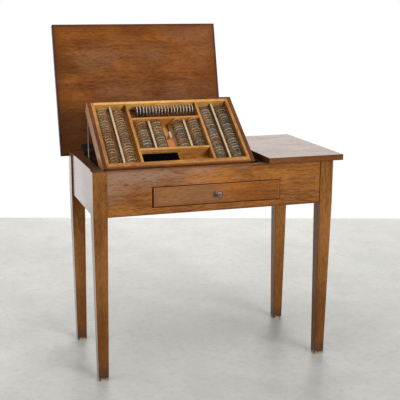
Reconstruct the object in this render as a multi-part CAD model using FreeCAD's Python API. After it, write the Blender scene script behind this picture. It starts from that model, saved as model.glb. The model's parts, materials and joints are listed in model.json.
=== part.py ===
"""Optician's trial-lens desk: a table with a lid, a tilting lens tray in its well, and a drawer.

Millimetres, +Z up, front at -Y. Pieces are built in desk coordinates, whose origin is on the floor at
the centre of the four legs. The lid is built closed and the tray level, and both are then turned to the
stored pose, with the lid open and the tray raised. At the end everything moves along Y so that the origin
is on the floor below the middle of the whole desk.
"""
import FreeCAD, Part
import math
import os

# Frame: overall sizes
FRAME_WIDTH = 870.4
FRAME_DEPTH = 448.5
TOP_HEIGHT = 760.0
TOP_THICKNESS = 20.6
TOP_ARRIS = 2.0

# Legs
LEG_SIDE = 49.0
LEG_OUTER_TAPER = 8.3
LEG_INNER_TAPER = 5.7
LEG_ARRIS = 1.5

# Aprons and end panels
APRON_HEIGHT = 156.2
APRON_THICKNESS = 16.0
APRON_SETBACK = 3.7
END_SETBACK = 4.9
TENON_LENGTH = 20.0
TENON_THICKNESS = 8.0
TENON_SHOULDER = 18.0

# Top: fixed part on the right, lid on the left
OVERHANG_SIDE = 28.1
OVERHANG_FRONT = 21.0
OVERHANG_REAR = 24.0
SPLIT_GAP = 3.3
LID_REST_GAP = 0.3
LID_LEAN = 14.5
LID_STOP_GAP = 0.3

# Well beside and under the tray
LEDGE_THICKNESS = 14.0
LEDGE_WIDTH = 19.8
WELL_SIDE_GAP = 3.0
WELL_RAIL_GAP = 12.55
WELL_REAR_GAP = 57.1
SPLIT_RAIL_WIDTH = 36.0
SPLIT_RAIL_THICKNESS = 18.0
WELL_FLOOR_THICKNESS = 5.0
TRAY_REST_GAP = 0.4
TRAY_NOTCH_GAP = 7.6

# Lid hinges
HINGE_LENGTH = 50.0
HINGE_LEG_GAP = 1.9
HINGE_SPLIT_INSET = 79.0
LEAF_WIDTH = 22.0
LEAF_THICKNESS = 1.6
BARREL_RADIUS = 4.0
HINGE_PIN_RADIUS = 2.0
PIN_CLEARANCE = 0.05
BARREL_END_GAP = 0.3
BARREL_POCKET_GAP = 1.0
SCREW_HEAD_RADIUS = 3.2
SCREW_HEAD_HEIGHT = 1.6
SCREW_SHANK_RADIUS = 1.5
SCREW_LENGTH = 13.0
SCREWS_PER_LEAF = 3
SCREW_END_INSET = 8.0

# Drawer and its bay
DRAWER_OPENING_WIDTH = 464.0
DRAWER_OPENING_HEIGHT = 71.5
DRAWER_OPENING_ABOVE = 24.3
DRAWER_GAP_LEFT = 5.5
DRAWER_GAP_RIGHT = 1.0
DRAWER_GAP_TOP = 1.5
DRAWER_GAP_BOTTOM = 1.5
DRAWER_PROUD = 1.5
DRAWER_FRONT_THICKNESS = 16.0
DRAWER_FRONT_ARRIS = 3.0
DRAWER_REAR_GAP = 34.6
DRAWER_SIDE_THICKNESS = 10.0
DRAWER_BACK_THICKNESS = 10.0
DRAWER_BOTTOM_THICKNESS = 5.0
DRAWER_BOTTOM_RISE = 4.0
DRAWER_HEADROOM = 4.0
BAY_SIDE_THICKNESS = 12.0
BAY_SIDE_GAP = 2.0
BAY_SIDE_DROP = 14.5
RUNNER_WIDTH = 24.0
RUNNER_CLEARANCE = 0.3

# Knob
KNOB_ROSETTE_RADIUS = 9.0
KNOB_ROSETTE_THICKNESS = 2.0
KNOB_NECK_RADIUS = 5.0
KNOB_NECK_LENGTH = 9.0
KNOB_HEAD_RADIUS = 11.0
KNOB_HEAD_LENGTH = 15.0
KNOB_HEAD_ARRIS = 2.5
KNOB_SCREW_RADIUS = 2.0
KNOB_SCREW_HEAD_RADIUS = 4.0
KNOB_SCREW_HEAD_THICKNESS = 2.5
KNOB_SCREW_BITE = 10.0

# Lens tray: place, motion and walls
TRAY_TOP_DROP = 2.4
TRAY_TILT = 36.0
TRAY_CLOSED_DIP = 3.0
TRAY_WALL = 13.0
TRAY_REAR_WALL = 7.0
TRAY_FRONT_WALL = 8.0
TRAY_BOTTOM_THICKNESS = 6.0
TRAY_FRONT_GAP = 20.0
LINER_THICKNESS = 11.0
FRONT_LINER_THICKNESS = 17.0
LINER_DROP = 1.5
DIVIDER_THICKNESS = 9.0
DIVIDER_DROP = 3.5
CROSS_DIVIDER_THICKNESS = 9.0
CROSS_DIVIDER_DROP = 5.0

# Lens tray: gaps of each block from left to right: edge, first column, wall, second column, edge
LEFT_BLOCK_GAPS = (2.5, 10.0, 1.5, 9.0)
MIDDLE_LEFT_GAPS = (12.0, 5.5, 1.5, 1.0)
MIDDLE_RIGHT_GAPS = (11.0, 1.5, 9.0, 5.0)
RIGHT_BLOCK_GAPS = (5.0, 7.5, 6.0, 3.6)
MIDDLE_GAP_WIDTH = 26.0
FRONT_ROOM_LENGTH = 58.0
TOP_ROOM_LENGTH = 70.0
SPACER_LENGTH = 54.0
SPACER_HEIGHT = 22.0

# Lenses and racks
LENS_RADIUS = 20.5
LENS_THICKNESS = 2.0
SLOT_CLEARANCE = 0.3
RACK_HEIGHT = 12.0
SLOT_FLOOR = 2.0
LENS_HEADROOM = 0.7
STRIP_WALL_WIDTH = 7.0
STRIP_WALL_HEIGHT = 30.0
STRIP_THICKNESS = 0.8
LONG_COLUMN_PITCH = 12.6
LONG_COLUMN_FRONT = 14.0
LONG_COLUMN_REAR = 12.0
MIDDLE_COLUMN_PITCH = 12.6
MIDDLE_COLUMN_FRONT = 8.0
MIDDLE_COLUMN_REAR = 5.0
TOP_ROW_PITCH = 11.5
TOP_ROW_LEFT = 30.5
TOP_ROW_RIGHT = 9.0
TOP_ROW_BEHIND = 3.5

# Black slip case in the front compartment
CASE_WIDTH = 126.0
CASE_LENGTH = 36.0
CASE_HEIGHT = 31.0
CASE_INSET = 5.0
CASE_ARRIS = 3.0

# Tray hinges
TRAY_HINGE_LENGTH = 50.0
TRAY_HINGE_INSET = 90.0
TRAY_AXIS_DROP = 14.4
TRAY_AXIS_GAP = 3.0
TRAY_BARREL_RADIUS = 2.6
TRAY_PIN_RADIUS = 1.2
TRAY_LEAF_THICKNESS = 1.5
TRAY_LEAF_HEIGHT = 25.0
TRAY_WEB_THICKNESS = 2.0

# Prop rod under the tray's left side
PROP_RADIUS = 2.5
PROP_FROM_REAR = 11.0
PROP_FROM_SIDE = 8.5
PROP_PIN_DROP = 8.0
PROP_EYE_RADIUS = 5.0
PROP_EYE_WIDTH = 5.0
PROP_PIN_RADIUS = 1.5
BRACKET_THICKNESS = 1.5
BRACKET_LENGTH = 16.0
BRACKET_GAP = 0.3
CATCH_DROP = 89.4
CATCH_FLANGE_RADIUS = 12.0
CATCH_FLANGE_THICKNESS = 3.0
CATCH_SHAFT_RADIUS = 4.0
CATCH_TIP_RADIUS = 2.0
CATCH_TIP_LENGTH = 1.5
CATCH_EYE_RADIUS = 2.3

# Two coordinates closer than this are the same place
SAME_PLACE = 0.01

# Places worked out from the sizes above
FRAME_TOP = TOP_HEIGHT - TOP_THICKNESS
APRON_BOTTOM = FRAME_TOP - APRON_HEIGHT
HALF_WIDTH = FRAME_WIDTH / 2
HALF_DEPTH = FRAME_DEPTH / 2
LEG_INNER_X = HALF_WIDTH - LEG_SIDE
LEG_INNER_Y = HALF_DEPTH - LEG_SIDE
APRON_OUTER_Y = HALF_DEPTH - APRON_SETBACK
APRON_INNER_Y = APRON_OUTER_Y - APRON_THICKNESS
PANEL_OUTER_X = HALF_WIDTH - END_SETBACK
PANEL_INNER_X = PANEL_OUTER_X - APRON_THICKNESS
TOP_FRONT_Y = -HALF_DEPTH - OVERHANG_FRONT
TOP_REAR_Y = HALF_DEPTH + OVERHANG_REAR
TOP_SIDE_X = HALF_WIDTH + OVERHANG_SIDE

# The lid stops when its rear edge meets the back of the rear legs
LID_SIN = math.sin(math.radians(LID_LEAN))
LID_AXIS_Y = HALF_DEPTH + (LID_STOP_GAP + OVERHANG_REAR * LID_SIN) / (1 + LID_SIN)
LID_AXIS_Z = FRAME_TOP + LID_REST_GAP / 2
LID_OPENING = 90.0 + LID_LEAN
LID_BOTTOM = FRAME_TOP + LID_REST_GAP

# Tray in its level pose: as wide as its lens blocks and as high as its lenses
LENS_COLUMN = 2 * LENS_RADIUS
LENS_PAIR = 2 * LENS_COLUMN + STRIP_WALL_WIDTH
TRAY_SIDE = TRAY_WALL + LINER_THICKNESS
TRAY_LEFT_X = -PANEL_INNER_X + LEDGE_WIDTH + WELL_SIDE_GAP
ROOM_LEFT = TRAY_LEFT_X + TRAY_SIDE
LEFT_DIVIDER_X = ROOM_LEFT + LENS_PAIR + sum(LEFT_BLOCK_GAPS)
MIDDLE_LEFT_X = LEFT_DIVIDER_X + DIVIDER_THICKNESS
SPACER_X = MIDDLE_LEFT_X + LENS_PAIR + sum(MIDDLE_LEFT_GAPS)
RIGHT_RACK_X = SPACER_X + MIDDLE_GAP_WIDTH
MIDDLE_RIGHT_X = RIGHT_RACK_X + LENS_PAIR + sum(MIDDLE_RIGHT_GAPS)
RIGHT_BLOCK_X = MIDDLE_RIGHT_X + DIVIDER_THICKNESS
ROOM_RIGHT = RIGHT_BLOCK_X + LENS_PAIR + sum(RIGHT_BLOCK_GAPS)
TRAY_RIGHT_X = ROOM_RIGHT + TRAY_SIDE
TRAY_FRONT_Y = -APRON_INNER_Y + TRAY_FRONT_GAP
TRAY_REAR_Y = APRON_INNER_Y - WELL_REAR_GAP
TRAY_HEIGHT = TRAY_BOTTOM_THICKNESS + SLOT_FLOOR + SLOT_CLEARANCE + 2 * LENS_RADIUS + LENS_HEADROOM
TRAY_TOP = FRAME_TOP - TRAY_TOP_DROP
TRAY_UNDER = TRAY_TOP - TRAY_HEIGHT
TRAY_FLOOR = TRAY_UNDER + TRAY_BOTTOM_THICKNESS
TRAY_AXIS_Y = -APRON_INNER_Y + TRAY_AXIS_GAP
TRAY_AXIS_Z = FRAME_TOP - TRAY_AXIS_DROP
TRAY_HINGE_STARTS = (
    TRAY_LEFT_X + TRAY_HINGE_INSET - TRAY_HINGE_LENGTH / 2,
    TRAY_RIGHT_X - TRAY_HINGE_INSET - TRAY_HINGE_LENGTH / 2,
)
ROOM_FRONT = TRAY_FRONT_Y + TRAY_FRONT_WALL + FRONT_LINER_THICKNESS
ROOM_REAR = TRAY_REAR_Y - TRAY_REAR_WALL - LINER_THICKNESS
LOWER_CROSS_Y = ROOM_FRONT + FRONT_ROOM_LENGTH
MIDDLE_FRONT_Y = LOWER_CROSS_Y + CROSS_DIVIDER_THICKNESS
TOP_ROOM_Y = ROOM_REAR - TOP_ROOM_LENGTH
UPPER_CROSS_Y = TOP_ROOM_Y - CROSS_DIVIDER_THICKNESS
LENS_CENTRE_Z = TRAY_FLOOR + SLOT_FLOOR + SLOT_CLEARANCE + LENS_RADIUS

# The rail beside the tray carries the split between the lid and the fixed top
RAIL_LEFT_X = TRAY_RIGHT_X + WELL_RAIL_GAP
RAIL_RIGHT_X = RAIL_LEFT_X + SPLIT_RAIL_WIDTH
LID_RIGHT_X = (RAIL_LEFT_X + RAIL_RIGHT_X - SPLIT_GAP) / 2
SPLIT_X = LID_RIGHT_X + SPLIT_GAP
LID_HINGE_STARTS = (
    -LEG_INNER_X + HINGE_LEG_GAP,
    LID_RIGHT_X - HINGE_SPLIT_INSET - HINGE_LENGTH,
)

# The well floor lies just under the rear edge of the lowered tray
DIP = math.radians(TRAY_CLOSED_DIP)
TRAY_REACH = TRAY_REAR_Y - TRAY_AXIS_Y
TRAY_LOWEST = TRAY_AXIS_Z - TRAY_REACH * math.sin(DIP) - (TRAY_AXIS_Z - TRAY_UNDER) * math.cos(DIP)
WELL_FLOOR_TOP = TRAY_LOWEST - TRAY_REST_GAP
WELL_FLOOR_UNDER = WELL_FLOOR_TOP - WELL_FLOOR_THICKNESS

# Drawer bay
OPENING_HALF = DRAWER_OPENING_WIDTH / 2
OPENING_BOTTOM = APRON_BOTTOM + DRAWER_OPENING_ABOVE
OPENING_TOP = OPENING_BOTTOM + DRAWER_OPENING_HEIGHT
BAY_INNER_X = OPENING_HALF + BAY_SIDE_GAP
BAY_OUTER_X = BAY_INNER_X + BAY_SIDE_THICKNESS
DRAWER_LEFT_X = -OPENING_HALF + DRAWER_GAP_LEFT
DRAWER_RIGHT_X = OPENING_HALF - DRAWER_GAP_RIGHT
DRAWER_FRONT_Y = -APRON_OUTER_Y - DRAWER_PROUD
DRAWER_INNER_Y = DRAWER_FRONT_Y + DRAWER_FRONT_THICKNESS
DRAWER_REAR_Y = APRON_INNER_Y - DRAWER_REAR_GAP
DRAWER_UNDER = OPENING_BOTTOM + RUNNER_CLEARANCE
DRAWER_SIDE_TOP = WELL_FLOOR_UNDER - DRAWER_HEADROOM
DRAWER_FLOOR_UNDER = DRAWER_UNDER + DRAWER_BOTTOM_RISE
DRAWER_BOX_LEFT = DRAWER_LEFT_X + DRAWER_SIDE_THICKNESS
DRAWER_BOX_RIGHT = DRAWER_RIGHT_X - DRAWER_SIDE_THICKNESS
KNOB_X = (DRAWER_LEFT_X + DRAWER_RIGHT_X) / 2
KNOB_Z = (OPENING_BOTTOM + DRAWER_GAP_BOTTOM + OPENING_TOP - DRAWER_GAP_TOP) / 2
KNOB_REACH = KNOB_ROSETTE_THICKNESS + KNOB_NECK_LENGTH + KNOB_HEAD_LENGTH

# Prop rod: pin in the level tray, and the same pin with the tray raised
PROP_X = TRAY_LEFT_X + PROP_FROM_SIDE
PROP_PIN_Y = TRAY_REAR_Y - PROP_FROM_REAR
PROP_PIN_Z = TRAY_UNDER - PROP_PIN_DROP
TILT = math.radians(TRAY_TILT)
PROP_ARM_Y = PROP_PIN_Y - TRAY_AXIS_Y
PROP_ARM_Z = PROP_PIN_Z - TRAY_AXIS_Z
RAISED_PIN_Y = TRAY_AXIS_Y + PROP_ARM_Y * math.cos(TILT) - PROP_ARM_Z * math.sin(TILT)
RAISED_PIN_Z = TRAY_AXIS_Z + PROP_ARM_Y * math.sin(TILT) + PROP_ARM_Z * math.cos(TILT)
PROP_FOOT_Z = FRAME_TOP - CATCH_DROP
PROP_LENGTH = RAISED_PIN_Z - PROP_FOOT_Z

# The whole desk reaches from the knob to the open lid, and the origin lies midway
LID_REACH = LID_AXIS_Y - TOP_FRONT_Y
OPEN_LID_REAR_Y = (
    LID_AXIS_Y
    + LID_REACH * LID_SIN
    + (TOP_HEIGHT - LID_AXIS_Z) * math.cos(math.radians(LID_LEAN))
)
FRONT_MOST_Y = min(TOP_FRONT_Y, DRAWER_FRONT_Y - KNOB_REACH)
ORIGIN_Y = (FRONT_MOST_Y + OPEN_LID_REAR_Y) / 2

ALONG_X = FreeCAD.Vector(1, 0, 0)
ALONG_Y = FreeCAD.Vector(0, 1, 0)
ALONG_Z = FreeCAD.Vector(0, 0, 1)


def box(x0, x1, y0, y1, z0, z1):
    """Return a box between two corners."""
    return Part.makeBox(x1 - x0, y1 - y0, z1 - z0, FreeCAD.Vector(x0, y0, z0))


def rod_x(x0, x1, y, z, radius):
    """Return a cylinder along X."""
    return Part.makeCylinder(radius, x1 - x0, FreeCAD.Vector(x0, y, z), ALONG_X)


def rod_y(y0, y1, x, z, radius):
    """Return a cylinder along Y."""
    return Part.makeCylinder(radius, y1 - y0, FreeCAD.Vector(x, y0, z), ALONG_Y)


def edges_where(shape, test):
    """Return the straight edges of a shape whose two end points both pass a test."""
    found = []
    for edge in shape.Edges:
        if all(test(vertex.Point) for vertex in edge.Vertexes):
            found.append(edge)
    return found


def eased_board(x0, x1, y0, y1, z0, z1, arris):
    """Return a board with every edge of its outline rounded."""
    board = box(x0, x1, y0, y1, z0, z1)
    return board.makeFillet(arris, board.Edges)


def fused(pieces):
    """Return pieces joined into one clean solid."""
    return pieces[0].fuse(pieces[1:]).removeSplitter()


def group(pieces):
    """Return separate solids as one compound."""
    return Part.makeCompound(pieces)


def arris_square(x0, x1, y0, y1, z):
    """Return a square outline at a height, with its corners cut to the leg's arris."""
    cut = LEG_ARRIS
    points = [
        (x0 + cut, y0), (x1 - cut, y0), (x1, y0 + cut), (x1, y1 - cut),
        (x1 - cut, y1), (x0 + cut, y1), (x0, y1 - cut), (x0, y0 + cut),
    ]
    vectors = [FreeCAD.Vector(x, y, z) for x, y in points]
    return Part.makePolygon(vectors + vectors[:1])


def leg_square(side_x, side_y, outer_inset, inner_inset, z):
    """Return a leg's outline at a height, on one side of the desk's two middle planes."""
    xs = sorted((side_x * (HALF_WIDTH - outer_inset), side_x * (LEG_INNER_X + inner_inset)))
    ys = sorted((side_y * (HALF_DEPTH - outer_inset), side_y * (LEG_INNER_Y + inner_inset)))
    return arris_square(xs[0], xs[1], ys[0], ys[1], z)


def apron_tenon(side_x, side_y, length):
    """Return the tenon of a front or rear apron, which goes along X into a leg."""
    xs = sorted((side_x * LEG_INNER_X, side_x * (LEG_INNER_X + length)))
    middle = side_y * (APRON_OUTER_Y - APRON_THICKNESS / 2)
    half = TENON_THICKNESS / 2
    z0 = APRON_BOTTOM + TENON_SHOULDER
    return box(xs[0], xs[1], middle - half, middle + half, z0, FRAME_TOP - TENON_SHOULDER)


def panel_tenon(side_x, side_y, length):
    """Return the tenon of an end panel, which goes along Y into a leg."""
    ys = sorted((side_y * LEG_INNER_Y, side_y * (LEG_INNER_Y + length)))
    middle = side_x * (PANEL_OUTER_X - APRON_THICKNESS / 2)
    half = TENON_THICKNESS / 2
    z0 = APRON_BOTTOM + TENON_SHOULDER
    return box(middle - half, middle + half, ys[0], ys[1], z0, FRAME_TOP - TENON_SHOULDER)


def leg(side_x, side_y):
    """Return one leg: straight where the aprons join it, tapered below, with its two mortises."""
    top = leg_square(side_x, side_y, 0, 0, FRAME_TOP)
    knee = leg_square(side_x, side_y, 0, 0, APRON_BOTTOM)
    foot = leg_square(side_x, side_y, LEG_OUTER_TAPER, LEG_INNER_TAPER, 0)
    upper = Part.makeLoft([knee, top], True, True)
    lower = Part.makeLoft([foot, knee], True, True)
    whole = fused([upper, lower])
    return whole.cut([
        apron_tenon(side_x, side_y, TENON_LENGTH),
        panel_tenon(side_x, side_y, TENON_LENGTH),
    ])


def tray_notch():
    """Return the room that the tray's front left corner needs in the leg beside it."""
    return box(
        TRAY_LEFT_X - WELL_SIDE_GAP, TRAY_RIGHT_X,
        TRAY_FRONT_Y - TRAY_AXIS_DROP, TRAY_REAR_Y,
        TRAY_UNDER - TRAY_NOTCH_GAP, FRAME_TOP,
    )


def build_legs():
    """Return the four legs by name."""
    return {
        "leg_front_left": leg(-1, -1).cut(tray_notch()),
        "leg_front_right": leg(1, -1),
        "leg_rear_left": leg(-1, 1),
        "leg_rear_right": leg(1, 1),
    }


def apron(side_y):
    """Return an apron along X with its two tenons."""
    ys = sorted((side_y * APRON_INNER_Y, side_y * APRON_OUTER_Y))
    board = box(-LEG_INNER_X, LEG_INNER_X, ys[0], ys[1], APRON_BOTTOM, FRAME_TOP)
    tenons = [apron_tenon(side, side_y, TENON_LENGTH) for side in (-1, 1)]
    return fused([board] + tenons)


def end_panel(side_x):
    """Return an end panel along Y with its two tenons."""
    xs = sorted((side_x * PANEL_INNER_X, side_x * PANEL_OUTER_X))
    board = box(xs[0], xs[1], -LEG_INNER_Y, LEG_INNER_Y, APRON_BOTTOM, FRAME_TOP)
    tenons = [panel_tenon(side_x, side, TENON_LENGTH) for side in (-1, 1)]
    return fused([board] + tenons)


def drawer_opening():
    """Return the hole for the drawer, through the front apron."""
    return box(
        -OPENING_HALF, OPENING_HALF, -APRON_OUTER_Y, -APRON_INNER_Y, OPENING_BOTTOM, OPENING_TOP
    )


def frame_leaf_recess(x0):
    """Return the room for a frame leaf in the top edge of the rear apron."""
    return box(
        x0, x0 + HINGE_LENGTH, LID_AXIS_Y - LEAF_WIDTH, APRON_OUTER_Y,
        FRAME_TOP - LEAF_THICKNESS, FRAME_TOP,
    )


def screw(x, y, z, up):
    """Return a countersunk screw whose head is flush at a height, pointing up or down."""
    way = FreeCAD.Vector(0, 0, 1 if up else -1)
    at = FreeCAD.Vector(x, y, z)
    head = Part.makeCone(SCREW_HEAD_RADIUS, SCREW_SHANK_RADIUS, SCREW_HEAD_HEIGHT, at, way)
    shank = Part.makeCylinder(SCREW_SHANK_RADIUS, SCREW_LENGTH, at, way)
    return fused([head, shank])


def leaf_screws(up):
    """Return the screws of both lid hinges, on the frame's side or on the lid's."""
    z = LID_BOTTOM if up else FRAME_TOP
    y = (LID_AXIS_Y - LEAF_WIDTH + APRON_OUTER_Y) / 2
    step = (HINGE_LENGTH - 2 * SCREW_END_INSET) / (SCREWS_PER_LEAF - 1)
    found = []
    for x0 in LID_HINGE_STARTS:
        for place in range(SCREWS_PER_LEAF):
            found.append(screw(x0 + SCREW_END_INSET + place * step, y, z, up))
    return found


def hinge_thirds(x0, length):
    """Return the X spans of a hinge's first, middle and last barrels."""
    third = length / 3
    half_gap = BARREL_END_GAP / 2
    return (
        (x0, x0 + third - half_gap),
        (x0 + third + half_gap, x0 + 2 * third - half_gap),
        (x0 + 2 * third + half_gap, x0 + length),
    )


def lid_leaf(x0, on_frame):
    """Return one leaf of a lid hinge with its barrels, bored for the pin."""
    spans = hinge_thirds(x0, HINGE_LENGTH)
    own = (spans[0], spans[2]) if on_frame else (spans[1],)
    z0 = FRAME_TOP - LEAF_THICKNESS if on_frame else LID_BOTTOM
    z1 = z0 + LEAF_THICKNESS
    plate_end = LID_AXIS_Y - BARREL_RADIUS - BARREL_END_GAP
    front = LID_AXIS_Y - LEAF_WIDTH
    pieces = [box(x0, x0 + HINGE_LENGTH, front, plate_end, z0, z1)]
    for start, end in own:
        pieces.append(box(start, end, plate_end, LID_AXIS_Y, z0, z1))
        pieces.append(rod_x(start, end, LID_AXIS_Y, LID_AXIS_Z, BARREL_RADIUS))
    bore = HINGE_PIN_RADIUS if on_frame else HINGE_PIN_RADIUS + PIN_CLEARANCE
    hole = rod_x(x0, x0 + HINGE_LENGTH, LID_AXIS_Y, LID_AXIS_Z, bore)
    return fused(pieces).cut(hole)


def build_frame():
    """Return the aprons, panels, well and drawer bay of the desk by name."""
    rear = apron(1).cut([frame_leaf_recess(x0) for x0 in LID_HINGE_STARTS])
    side_bottom = APRON_BOTTOM + DRAWER_OPENING_ABOVE - BAY_SIDE_DROP
    parts = {
        "front_apron": apron(-1).cut(drawer_opening()),
        "rear_apron": rear.cut(leaf_screws(False)),
        "end_panel_left": end_panel(-1),
        "end_panel_right": end_panel(1),
        "well_ledge_left": box(
            -PANEL_INNER_X, -PANEL_INNER_X + LEDGE_WIDTH, -LEG_INNER_Y, LEG_INNER_Y,
            FRAME_TOP - LEDGE_THICKNESS, FRAME_TOP,
        ),
        "split_rail": box(
            RAIL_LEFT_X, RAIL_RIGHT_X, -APRON_INNER_Y, APRON_INNER_Y,
            FRAME_TOP - SPLIT_RAIL_THICKNESS, FRAME_TOP,
        ),
        "well_floor": box(
            -BAY_OUTER_X, BAY_OUTER_X, -APRON_INNER_Y, APRON_INNER_Y,
            WELL_FLOOR_UNDER, WELL_FLOOR_TOP,
        ),
    }
    for name, side in (("left", -1), ("right", 1)):
        wall = sorted((side * BAY_INNER_X, side * BAY_OUTER_X))
        rail = sorted((side * BAY_INNER_X, side * (BAY_INNER_X - RUNNER_WIDTH)))
        parts["bay_side_" + name] = box(
            wall[0], wall[1], -APRON_INNER_Y, APRON_INNER_Y, side_bottom, WELL_FLOOR_UNDER
        )
        parts["drawer_runner_" + name] = box(
            rail[0], rail[1], -APRON_INNER_Y, APRON_INNER_Y, side_bottom, OPENING_BOTTOM
        )
    return parts


def build_top():
    """Return the fixed part of the top by name."""
    board = eased_board(
        SPLIT_X, TOP_SIDE_X, TOP_FRONT_Y, TOP_REAR_Y, FRAME_TOP, TOP_HEIGHT, TOP_ARRIS
    )
    return {"fixed_top": board}


def build_frame_hinges():
    """Return the fixed halves of the lid's and the tray's hinges by name."""
    leaves = [lid_leaf(x0, True) for x0 in LID_HINGE_STARTS]
    screws = leaf_screws(False)
    pins = [
        rod_x(x0, x0 + HINGE_LENGTH, LID_AXIS_Y, LID_AXIS_Z, HINGE_PIN_RADIUS)
        for x0 in LID_HINGE_STARTS
    ]
    tray_pins = [
        rod_x(x0, x0 + TRAY_HINGE_LENGTH, TRAY_AXIS_Y, TRAY_AXIS_Z, TRAY_PIN_RADIUS)
        for x0 in TRAY_HINGE_STARTS
    ]
    return {
        "lid_hinge_frame_leaves": group([leaf.cut(screws) for leaf in leaves]),
        "lid_hinge_pins": group(pins),
        "lid_hinge_frame_screws": group(screws),
        "tray_hinge_apron_leaves": group([tray_apron_leaf(x0) for x0 in TRAY_HINGE_STARTS]),
        "tray_hinge_pins": group(tray_pins),
    }


def build_lid():
    """Return the lid and its hinge leaves by name, closed."""
    panel = eased_board(
        -TOP_SIDE_X, LID_RIGHT_X, TOP_FRONT_Y, TOP_REAR_Y, LID_BOTTOM, TOP_HEIGHT, TOP_ARRIS
    )
    reach = BARREL_RADIUS + BARREL_POCKET_GAP
    screws = leaf_screws(True)
    cuts = list(screws)
    for x0 in LID_HINGE_STARTS:
        x1 = x0 + HINGE_LENGTH
        cuts.append(box(
            x0, x1, LID_AXIS_Y - LEAF_WIDTH, LID_AXIS_Y, LID_BOTTOM, LID_BOTTOM + LEAF_THICKNESS
        ))
        cuts.append(box(
            x0 - BARREL_POCKET_GAP, x1 + BARREL_POCKET_GAP, LID_AXIS_Y - reach, LID_AXIS_Y + reach,
            LID_BOTTOM, LID_AXIS_Z + reach,
        ))
    leaves = [lid_leaf(x0, False) for x0 in LID_HINGE_STARTS]
    return {
        "lid_panel": panel.cut(cuts),
        "lid_hinge_lid_leaves": group([leaf.cut(screws) for leaf in leaves]),
        "lid_hinge_lid_screws": group(screws),
    }


def drawer_front():
    """Return the drawer's front board, its face edges rounded and bored for the knob's screw."""
    board = box(
        DRAWER_LEFT_X, DRAWER_RIGHT_X, DRAWER_FRONT_Y, DRAWER_INNER_Y,
        OPENING_BOTTOM + DRAWER_GAP_BOTTOM, OPENING_TOP - DRAWER_GAP_TOP,
    )
    face = edges_where(board, lambda point: abs(point.y - DRAWER_FRONT_Y) < SAME_PLACE)
    eased = board.makeFillet(DRAWER_FRONT_ARRIS, face)
    return eased.cut(rod_y(DRAWER_FRONT_Y, DRAWER_INNER_Y, KNOB_X, KNOB_Z, KNOB_SCREW_RADIUS))


def knob():
    """Return the turned knob: rosette, neck and rounded head, bored for its screw."""
    rosette_y = DRAWER_FRONT_Y - KNOB_ROSETTE_THICKNESS
    neck_y = rosette_y - KNOB_NECK_LENGTH
    head_y = neck_y - KNOB_HEAD_LENGTH
    head = rod_y(head_y, neck_y, KNOB_X, KNOB_Z, KNOB_HEAD_RADIUS)
    head = head.makeFillet(KNOB_HEAD_ARRIS, [edge for edge in head.Edges if edge.Closed])
    body = fused([
        rod_y(rosette_y, DRAWER_FRONT_Y, KNOB_X, KNOB_Z, KNOB_ROSETTE_RADIUS),
        rod_y(neck_y, rosette_y, KNOB_X, KNOB_Z, KNOB_NECK_RADIUS),
        head,
    ])
    bite = DRAWER_FRONT_Y - KNOB_SCREW_BITE
    return body.cut(rod_y(bite, DRAWER_FRONT_Y, KNOB_X, KNOB_Z, KNOB_SCREW_RADIUS))


def build_drawer():
    """Return the drawer's pieces by name, pushed in."""
    floor_top = DRAWER_FLOOR_UNDER + DRAWER_BOTTOM_THICKNESS
    back_front = DRAWER_REAR_Y - DRAWER_BACK_THICKNESS
    screw_head_y = DRAWER_INNER_Y + KNOB_SCREW_HEAD_THICKNESS
    knob_screw = fused([
        rod_y(DRAWER_FRONT_Y - KNOB_SCREW_BITE, DRAWER_INNER_Y, KNOB_X, KNOB_Z, KNOB_SCREW_RADIUS),
        rod_y(DRAWER_INNER_Y, screw_head_y, KNOB_X, KNOB_Z, KNOB_SCREW_HEAD_RADIUS),
    ])
    return {
        "drawer_front": drawer_front(),
        "drawer_side_left": box(
            DRAWER_LEFT_X, DRAWER_BOX_LEFT, DRAWER_INNER_Y, DRAWER_REAR_Y,
            DRAWER_UNDER, DRAWER_SIDE_TOP,
        ),
        "drawer_side_right": box(
            DRAWER_BOX_RIGHT, DRAWER_RIGHT_X, DRAWER_INNER_Y, DRAWER_REAR_Y,
            DRAWER_UNDER, DRAWER_SIDE_TOP,
        ),
        "drawer_back": box(
            DRAWER_BOX_LEFT, DRAWER_BOX_RIGHT, back_front, DRAWER_REAR_Y,
            floor_top, DRAWER_SIDE_TOP,
        ),
        "drawer_bottom": box(
            DRAWER_BOX_LEFT, DRAWER_BOX_RIGHT, DRAWER_INNER_Y, DRAWER_REAR_Y,
            DRAWER_FLOOR_UNDER, floor_top,
        ),
        "drawer_knob": knob(),
        "knob_screw": knob_screw,
    }


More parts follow.
